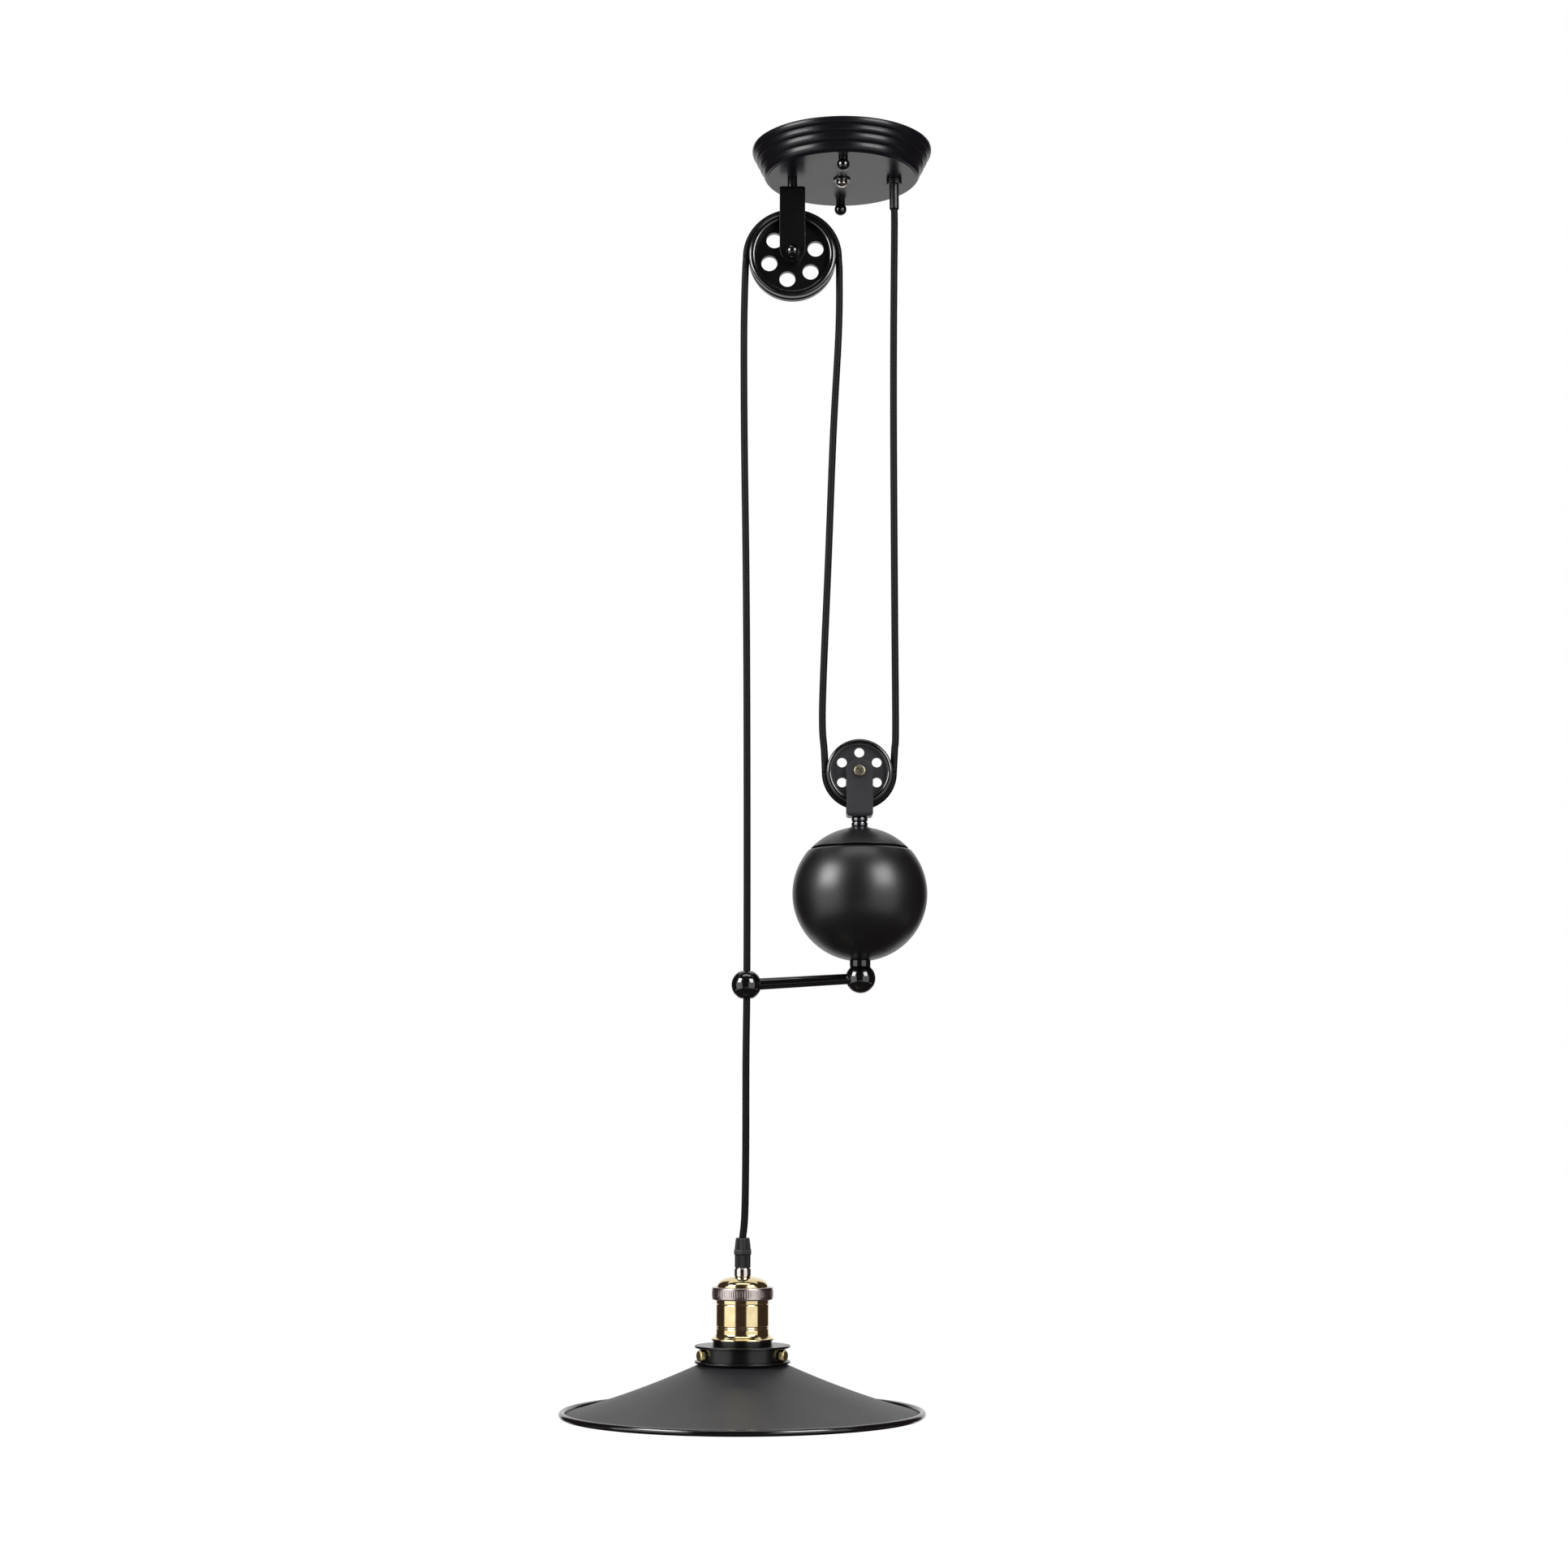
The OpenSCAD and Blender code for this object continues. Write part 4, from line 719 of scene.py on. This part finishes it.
def levels(node):
    """The highest and lowest level of a node, in mm."""
    middle, half = place(node)
    return middle[2] + half[2], middle[2] - half[2]


def flutes(count, depth, beyond):
    """Rounded flutes: -depth times the square of a sine, on the wall beyond a radius."""
    return lambda a, r, h: -depth * np.sin(count * a / 2) ** 2 * (r > beyond)


def hexagon(a, r, h):
    """Draws a circle in to a hexagon: r cos 30 / cos of the angle from the nearest flat."""
    from_flat = (a + math.pi / 6) % (math.pi / 3) - math.pi / 6
    return r * (math.cos(math.pi / 6) / np.cos(from_flat) - 1) * (r > CORD_HOLE_R + 1)


nose_top, hex_low = levels("grip_nut")
body_top, body_low = levels("grip_body")
CORD_HOLE_R = 2.7
HEX_HIGH = 3.5
HEX_R = 6.8
NOSE_TIP_R, NOSE_FOOT_R = 4.7, 5.6
BARREL_R, BARREL_FOOT_R = 5.4, 4.9
nose_foot = hex_low + HEX_HIGH
nose_outline = rounded([(CORD_HOLE_R, nose_top, 0.3), (NOSE_TIP_R, nose_top, 0.8),
                        (NOSE_FOOT_R, nose_foot, 0.2), (CORD_HOLE_R, nose_foot, 0.1)])
nose = turned("grip_nose", nose_outline, (lamp_x, 0, 0), columns=192, ripple=flutes(16, 0.5, 3.5))
finish(nose, black_plastic, "grip_nut")
hex_outline = rounded([(CORD_HOLE_R, nose_foot, 0), (HEX_R, nose_foot, 0.6), (HEX_R, hex_low, 0.6),
                       (CORD_HOLE_R, hex_low, 0)])
grip_hexagon = turned("grip_hexagon", hex_outline, (lamp_x, 0, 0), columns=192, ripple=hexagon)
finish(grip_hexagon, black_plastic, "grip_nut")
barrel_outline = rounded([(CORD_HOLE_R, body_top, 0), (BARREL_R, body_top, 0.3),
                          (BARREL_R, body_low + 0.6, 0.3), (BARREL_FOOT_R, body_low, 0.2),
                          (CORD_HOLE_R, body_low, 0)])
barrel = turned("grip_barrel", barrel_outline, (lamp_x, 0, 0), columns=192, ripple=flutes(20, 0.35, 4.0))
finish(barrel, black_plastic, "grip_body")
eased("holder_nipple", nickel, 0.2)
print("grip:", round(nose_top - body_low, 1), "mm tall")

# %% [markdown]
# ## The brass holder
# The holder is spun from brass tube: a dome, a shell with a flared foot and three turned lines,
# and between them a ring with a straight knurl, which is rolled in so that fingers can turn
# it. The knurl is a ripple round the outline, faded out towards the ring's two smooth edges.

# %% Turn the brass holder
dome_top, dome_low = levels("holder_dome")
ring_top, ring_low = levels("holder_ring")
shell_top, shell_low = levels("holder_shell")
dome_r = place("holder_dome")[1][0]
ring_r = place("holder_ring")[1][0]
SHELL_R, FLARE_R = 18.15, place("holder_shell")[1][0]
BRASS_WALL = 0.8
dome_high = dome_top - ring_top
BORE_R = 4.9
DOME_FLAT_R = 5.7


def dome_curve(inset, steps=28):
    """A quarter of an ellipse from the nipple's edge out to the ring."""
    a = np.radians(np.linspace(0, 90, steps))
    return np.stack([DOME_FLAT_R + (dome_r - inset - DOME_FLAT_R) * np.sin(a),
                     ring_top + (dome_high - inset) * np.cos(a)], 1)


dome_outline = np.vstack([
    [[BORE_R, dome_top]], dome_curve(0), [[dome_r, dome_low], [dome_r - BRASS_WALL, dome_low]],
    dome_curve(BRASS_WALL)[::-1], [[BORE_R, dome_top - BRASS_WALL]]])
finish(turned("brass_dome", dome_outline, (lamp_x, 0, 0), columns=160), aged_brass, "holder_dome")

KNURLS = 84
KNURL_DEPTH = 0.12
SMOOTH_EDGE = 1.2
RING_CLEAR = 0.05
RING_EDGE = ((0.8, 0), (0.25, 0.22), (0, 0.7))
RING_ROWS = 14


def knurl(top, low, radius):
    """A straight knurl: the depth times |sin|, only on the outer wall between the edges."""
    def cut(a, r, h):
        """How far the knurl goes in at an angle, a radius and a height."""
        inside = np.clip(np.minimum(top - h, h - low) / SMOOTH_EDGE - 1, 0, 1)
        return -KNURL_DEPTH * inside * np.abs(np.sin(KNURLS * a / 2)) * (r > radius - 0.01)
    return cut


ring_ease = RING_EDGE[-1][1]
rim_levels = np.linspace(ring_top - ring_ease, ring_low + ring_ease, RING_ROWS)
ring_outline = np.vstack([
    [[dome_r + RING_CLEAR, ring_top]], [[ring_r - back, ring_top - down] for back, down in RING_EDGE],
    np.stack([np.full(RING_ROWS, ring_r), rim_levels], 1),
    [[ring_r - back, ring_low + up] for back, up in RING_EDGE[1::-1]], [[dome_r + RING_CLEAR, ring_low]]])
ring = turned("knurled_ring", ring_outline, (lamp_x, 0, 0), columns=KNURLS * 6,
              ripple=knurl(ring_top, ring_low, ring_r))
finish(ring, ring_brass, "holder_ring")

LINE_DEPTH = 0.35
LINE_HALF_W = 0.28
LINES_AT = (shell_top - 3, shell_low + 7.6, shell_low + 9)


def turned_lines(h):
    """Fine turned grooves: a narrow bell curve of the height at each line."""
    return -LINE_DEPTH * sum(np.exp(-((h - line) / LINE_HALF_W) ** 2) for line in LINES_AT)


FLARE_STARTS = 4.6
FLARE_DROP = 3.8
FLARE_POWER = 1.8
shell_h = np.linspace(shell_top, shell_low + FLARE_STARTS, 110)
flare_t = np.linspace(0, 1, 24)[1:]
shell_outer = np.vstack([
    np.stack([SHELL_R + turned_lines(shell_h), shell_h], 1),
    np.stack([SHELL_R + (FLARE_R - SHELL_R) * flare_t ** FLARE_POWER,
              shell_low + FLARE_STARTS - FLARE_DROP * flare_t], 1)])
shell_inner = rounded([(FLARE_R, shell_low, 0.25), (SHELL_R - BRASS_WALL, shell_low, 0.1),
                       (SHELL_R - BRASS_WALL, shell_top, 0.2)])
shell_outline = np.vstack([shell_outer, shell_inner])
finish(turned("brass_shell", shell_outline, (lamp_x, 0, 0), columns=192), aged_brass, "holder_shell")
dress(porcelain, "porcelain_insert")
dress(nickel, "screw_shell")
dress(screw_brass, "centre_contact", "holder_terminals")
print("holder: ring", round(2 * ring_r, 1), "mm, shell", round(2 * SHELL_R, 1), "mm, flare",
      round(2 * FLARE_R, 1), "mm")

# %% [markdown]
# ## The gallery
# The gallery is the black cup that carries the shade: two flanges with a narrower waist
# between them, where three screws with knurled brass heads reach in to the shade's neck.

# %% Dress the gallery and turn its screws
eased("gallery", wheel_paint, 0.3)
eased("gallery_ring", black_plastic, 0.3)
SCREW_ANGLES = (90, 210, 330)
WAIST_R = 29.5
HEAD_R, HEAD_HIGH = 3.7, 4.0
HEAD_KNURLS = 24
SHANK_R, SHANK_IN, HEAD_STANDS_OFF = 1.7, 6, 0.6
screws_z = place("gallery_screws")[0][2]
shank_end, head_foot = WAIST_R - SHANK_IN, WAIST_R + HEAD_STANDS_OFF
head_outline = rounded([(0, shank_end, 0), (SHANK_R, shank_end, 0.3), (SHANK_R, head_foot, 0.1),
                        (HEAD_R, head_foot, 0.5), (HEAD_R, head_foot + HEAD_HIGH, 0.7),
                        (0, head_foot + HEAD_HIGH, 0)])
for number, angle in enumerate(SCREW_ANGLES, 1):
    out = (math.cos(math.radians(angle)), math.sin(math.radians(angle)), 0)
    screw = turned(f"gallery_screw_{number}", head_outline, (lamp_x, 0, screws_z), axis=out,
                   columns=HEAD_KNURLS * 6, ripple=flutes(HEAD_KNURLS, 0.3, HEAD_R - 0.2))
    finish(screw, screw_brass, "gallery_screws")
print("gallery screws at", SCREW_ANGLES)

# %% [markdown]
# ## The shade
# The shade is a steel disc spun to a shallow cone that flares a little towards its rim, with
# a short neck inside the gallery. Cone and neck are turned from one outline, and the flare is
# a parabola off the straight cone. The rim is rolled over a wire: it is a round ring of its
# own, in glossier paint, and shows as a thin bright line.

# %% Turn the shade
SHADE_SLOPE = math.radians(20)
SHADE_DIP = 2.2
SHADE_WALL = 1.0
BEAD_R = 2.2
NECK_R = 27.8
RIM_OFF_FOOT = 0.3
shade_top, shade_low = levels("shade")
bead_at = np.array([place("shade")[1][0] - BEAD_R, shade_low + BEAD_R])
flank_w = bead_at[0] - NECK_R
shade_down = SHADE_WALL / math.cos(SHADE_SLOPE)
rim_top = shade_low + RIM_OFF_FOOT + shade_down
cone_top = rim_top + flank_w * math.tan(SHADE_SLOPE)


def flank(start, stop, steps=40):
    """Points of the flank: level cone_top - w t tan(slope) - 4 dip t (1 - t), t from neck to rim."""
    t = np.linspace(start, stop, steps, endpoint=False)
    return np.stack([NECK_R + flank_w * t,
                     cone_top - flank_w * t * math.tan(SHADE_SLOPE) - 4 * SHADE_DIP * t * (1 - t)], 1)


bead_angles = np.radians(np.linspace(180, -180, 40, endpoint=False))
bead = bead_at + BEAD_R * np.stack([np.cos(bead_angles), np.sin(bead_angles)], 1)
cone_rows = flank(0.01, 1.01)
under_rows = flank(1, 0) - [0, shade_down]
neck_rows = rounded([(NECK_R - SHADE_WALL, cone_top - 0.7, 0.3), (NECK_R - SHADE_WALL, shade_top, 0.2),
                     (NECK_R + 0.4, shade_top, 0.2), (NECK_R + 0.4, shade_top - 1.1, 0.2),
                     (NECK_R, shade_top - 1.1, 0.1), (NECK_R, cone_top, 0.8)])
shade = turned("spun_shade", np.vstack([neck_rows, cone_rows, under_rows]), (lamp_x, 0, 0), columns=256)
finish(shade, shade_paint, "shade")
finish(turned("rolled_rim", bead, (lamp_x, 0, 0), columns=256), rim_paint, "shade")
print("shade:", round(2 * (bead_at[0] + BEAD_R)), "mm wide,", round(cone_top - shade_low, 1),
      "mm from crown to rim")

# %% [markdown]
# ## The studio
# Two softboxes stand left and right in front, low down, and give the brass its two pale
# bands. A bright lamp above each, 0.8 m wide, gives every ball a pair of small highlights.
# Only mirror images see these two, so the level of light on a colour stays plain. A dim strip
# overhead draws thin arcs on the rims. White all round would turn black paint grey. So dark
# cards stand in front, at the sides, below and overhead, as a photographer sets them. They are
# a very dark brown, which gives the brass its warm dark bands. Only mirror images see them,
# and they leave the white behind the lamp open, which gives each piece a light edge.

# %% Light the object
AIM = Vector((-0.02, 0, -0.5))
PANEL_AWAY = 1.6
PANEL_SIZE = (1.5, 1.3)
LAMP_SIZE = (0.8, 0.8)
STRIP_SIZE = (1.4, 0.5)
SOFTBOX_LEVEL, LAMP_LEVEL, STRIP_LEVEL = 1.3, 12, 2.5
SOFTBOX_UP, LAMP_UP, STRIP_UP = -9, 25, 75
LIGHT_SIDES = (("left", -58, 1.0), ("right", 42, 0.8))


def toward(azimuth, elevation=0.0):
    """The direction at an angle round from the camera's side (right is positive) and up."""
    a, e = math.radians(azimuth), math.radians(elevation)
    return Vector((math.sin(a) * math.cos(e), -math.cos(a) * math.cos(e), math.sin(e)))


def area_light(name, azimuth, elevation, size, brightness):
    """An area light that faces the object. Its power is brightness x pi x area, so a white
    card that mirrored it would show exactly that brightness."""
    way = toward(azimuth, elevation)
    light = bpy.data.lights.new(name, "AREA")
    light.shape = "RECTANGLE"
    light.size, light.size_y = size
    light.energy = brightness * math.pi * size[0] * size[1]
    lamp = bpy.data.objects.new(name, light)
    lamp.location = AIM + way * PANEL_AWAY
    lamp.rotation_euler = way.to_track_quat("Z", "Y").to_euler()
    bpy.context.collection.objects.link(lamp)
    return lamp


for side, azimuth, dim in LIGHT_SIDES:
    area_light(f"softbox_{side}", azimuth, SOFTBOX_UP, PANEL_SIZE, SOFTBOX_LEVEL * dim)
    lamp = area_light(f"bright_lamp_{side}", azimuth, LAMP_UP, LAMP_SIZE, LAMP_LEVEL * dim)
    lamp.visible_diffuse = False
area_light("overhead_strip", 0, STRIP_UP, STRIP_SIZE, STRIP_LEVEL)
print("two softboxes of", PANEL_SIZE, "m, two lamps and a strip")

# %% [markdown]
# The world is white to the camera and in mirror images, and lights the object with a lower,
# even level. So the background is white while the paint stays dark.

# %% Hang the backdrop
world = bpy.data.worlds.new("studio")
bpy.context.scene.world = world
world.use_nodes = True
sky = world.node_tree
sky.nodes.clear()
AMBIENT = 0.65


def sees_backdrop(tree):
    """1 for rays from the camera and for mirrored or transmitted ones, else 0."""
    rays = add(tree, "ShaderNodeLightPath")
    mirrored = add(tree, "ShaderNodeMath", {0: rays.outputs["Is Glossy Ray"],
                                            1: rays.outputs["Is Transmission Ray"]}, operation="MAXIMUM")
    return add(tree, "ShaderNodeMath", {0: rays.outputs["Is Camera Ray"], 1: mirrored.outputs[0]},
               operation="MAXIMUM").outputs[0]


level = add(sky, "ShaderNodeMix", {0: sees_backdrop(sky), 2: AMBIENT, 3: 1.0}, data_type="FLOAT")
backdrop = add(sky, "ShaderNodeBackground", {"Color": (1, 1, 1, 1), "Strength": level.outputs[0]})
add(sky, "ShaderNodeOutputWorld", {"Surface": backdrop.outputs[0]})
print("ambient level:", AMBIENT)

# %% [markdown]
# A pale floor lies below the lamp. To the camera and in mirror images three quarters of it
# glows, so it looks white, and the rest still takes a shadow.

# %% Lay the floor and set the cards
FLOOR_Z = -1.6
FLOOR_HALF = 14
GLOW_LEVEL, GLOW_SHARE = 1.18, 0.75


def sheet(name, corners, material):
    """A flat four-cornered piece of the studio."""
    mesh = bpy.data.meshes.new(name)
    mesh.from_pydata([tuple(corner) for corner in corners], [], [(0, 1, 2, 3)])
    mesh.materials.append(material)
    made = bpy.data.objects.new(name, mesh)
    bpy.context.collection.objects.link(made)
    return made


floor_paint = bpy.data.materials.new("pale_floor")
floor_paint.use_nodes = True
tree = floor_paint.node_tree
tree.nodes.clear()
matt = add(tree, "ShaderNodeBsdfDiffuse", {"Color": linear("#e4e4e4")})
glow = add(tree, "ShaderNodeEmission", {"Color": (1, 1, 1, 1), "Strength": GLOW_LEVEL})
share = add(tree, "ShaderNodeMath", {0: sees_backdrop(tree), 1: GLOW_SHARE}, operation="MULTIPLY")
blend = add(tree, "ShaderNodeMixShader", {0: share.outputs[0], 1: matt.outputs[0], 2: glow.outputs[0]})
add(tree, "ShaderNodeOutputMaterial", {"Surface": blend.outputs[0]})
corners = [(x * FLOOR_HALF, y * FLOOR_HALF, FLOOR_Z) for x, y in ((-1, -1), (1, -1), (1, 1), (-1, 1))]
sheet("studio_floor", corners, floor_paint)

card_black = bpy.data.materials.new("matt_black_card")
card_black.use_nodes = True
card_shader = card_black.node_tree.nodes["Principled BSDF"]
card_shader.inputs["Base Color"].default_value = linear("#3c2a26")
card_shader.inputs["Roughness"].default_value = 0.9
CARD_AWAY = 2.3
CARD_EDGES = (-150, -100, -50, 0, 50, 100, 150)
CARD_TOP = 1.8
CARD_FOOT = FLOOR_Z + 0.05


def black_card(name, corners):
    """A card that only mirror images see."""
    card = sheet(name, corners, card_black)
    card.visible_camera = card.visible_shadow = card.visible_diffuse = card.visible_transmission = False


def standing_card(name, start, stop, away):
    """An upright card between two directions round the object, at a distance from it."""
    ends = [AIM + toward(angle) * away for angle in (start, stop)]
    black_card(name, [(ends[0].x, ends[0].y, CARD_FOOT), (ends[1].x, ends[1].y, CARD_FOOT),
                      (ends[1].x, ends[1].y, CARD_TOP), (ends[0].x, ends[0].y, CARD_TOP)])


for number, (start, stop) in enumerate(zip(CARD_EDGES, CARD_EDGES[1:])):
    standing_card(f"black_card_{number}", start, stop, CARD_AWAY)
LOW_CARD_HALF = 1.9
LOW_CARD_BACK = 1.5
black_card("black_card_below", [(x * LOW_CARD_HALF, y, CARD_FOOT) for x, y in (
    (-1, -LOW_CARD_HALF), (1, -LOW_CARD_HALF), (1, LOW_CARD_BACK), (-1, LOW_CARD_BACK))])
OVERHEAD_Z, OVERHEAD_BACK = 1.5, 0.6
black_card("black_card_overhead", [(x * LOW_CARD_HALF, y, OVERHEAD_Z) for x, y in (
    (-1, -LOW_CARD_HALF), (1, -LOW_CARD_HALF), (1, OVERHEAD_BACK), (-1, OVERHEAD_BACK))])
bpy.context.scene.view_settings.view_transform = "Standard"
print("floor at", FLOOR_Z, "m, and", len(CARD_EDGES) + 1, "dark cards")
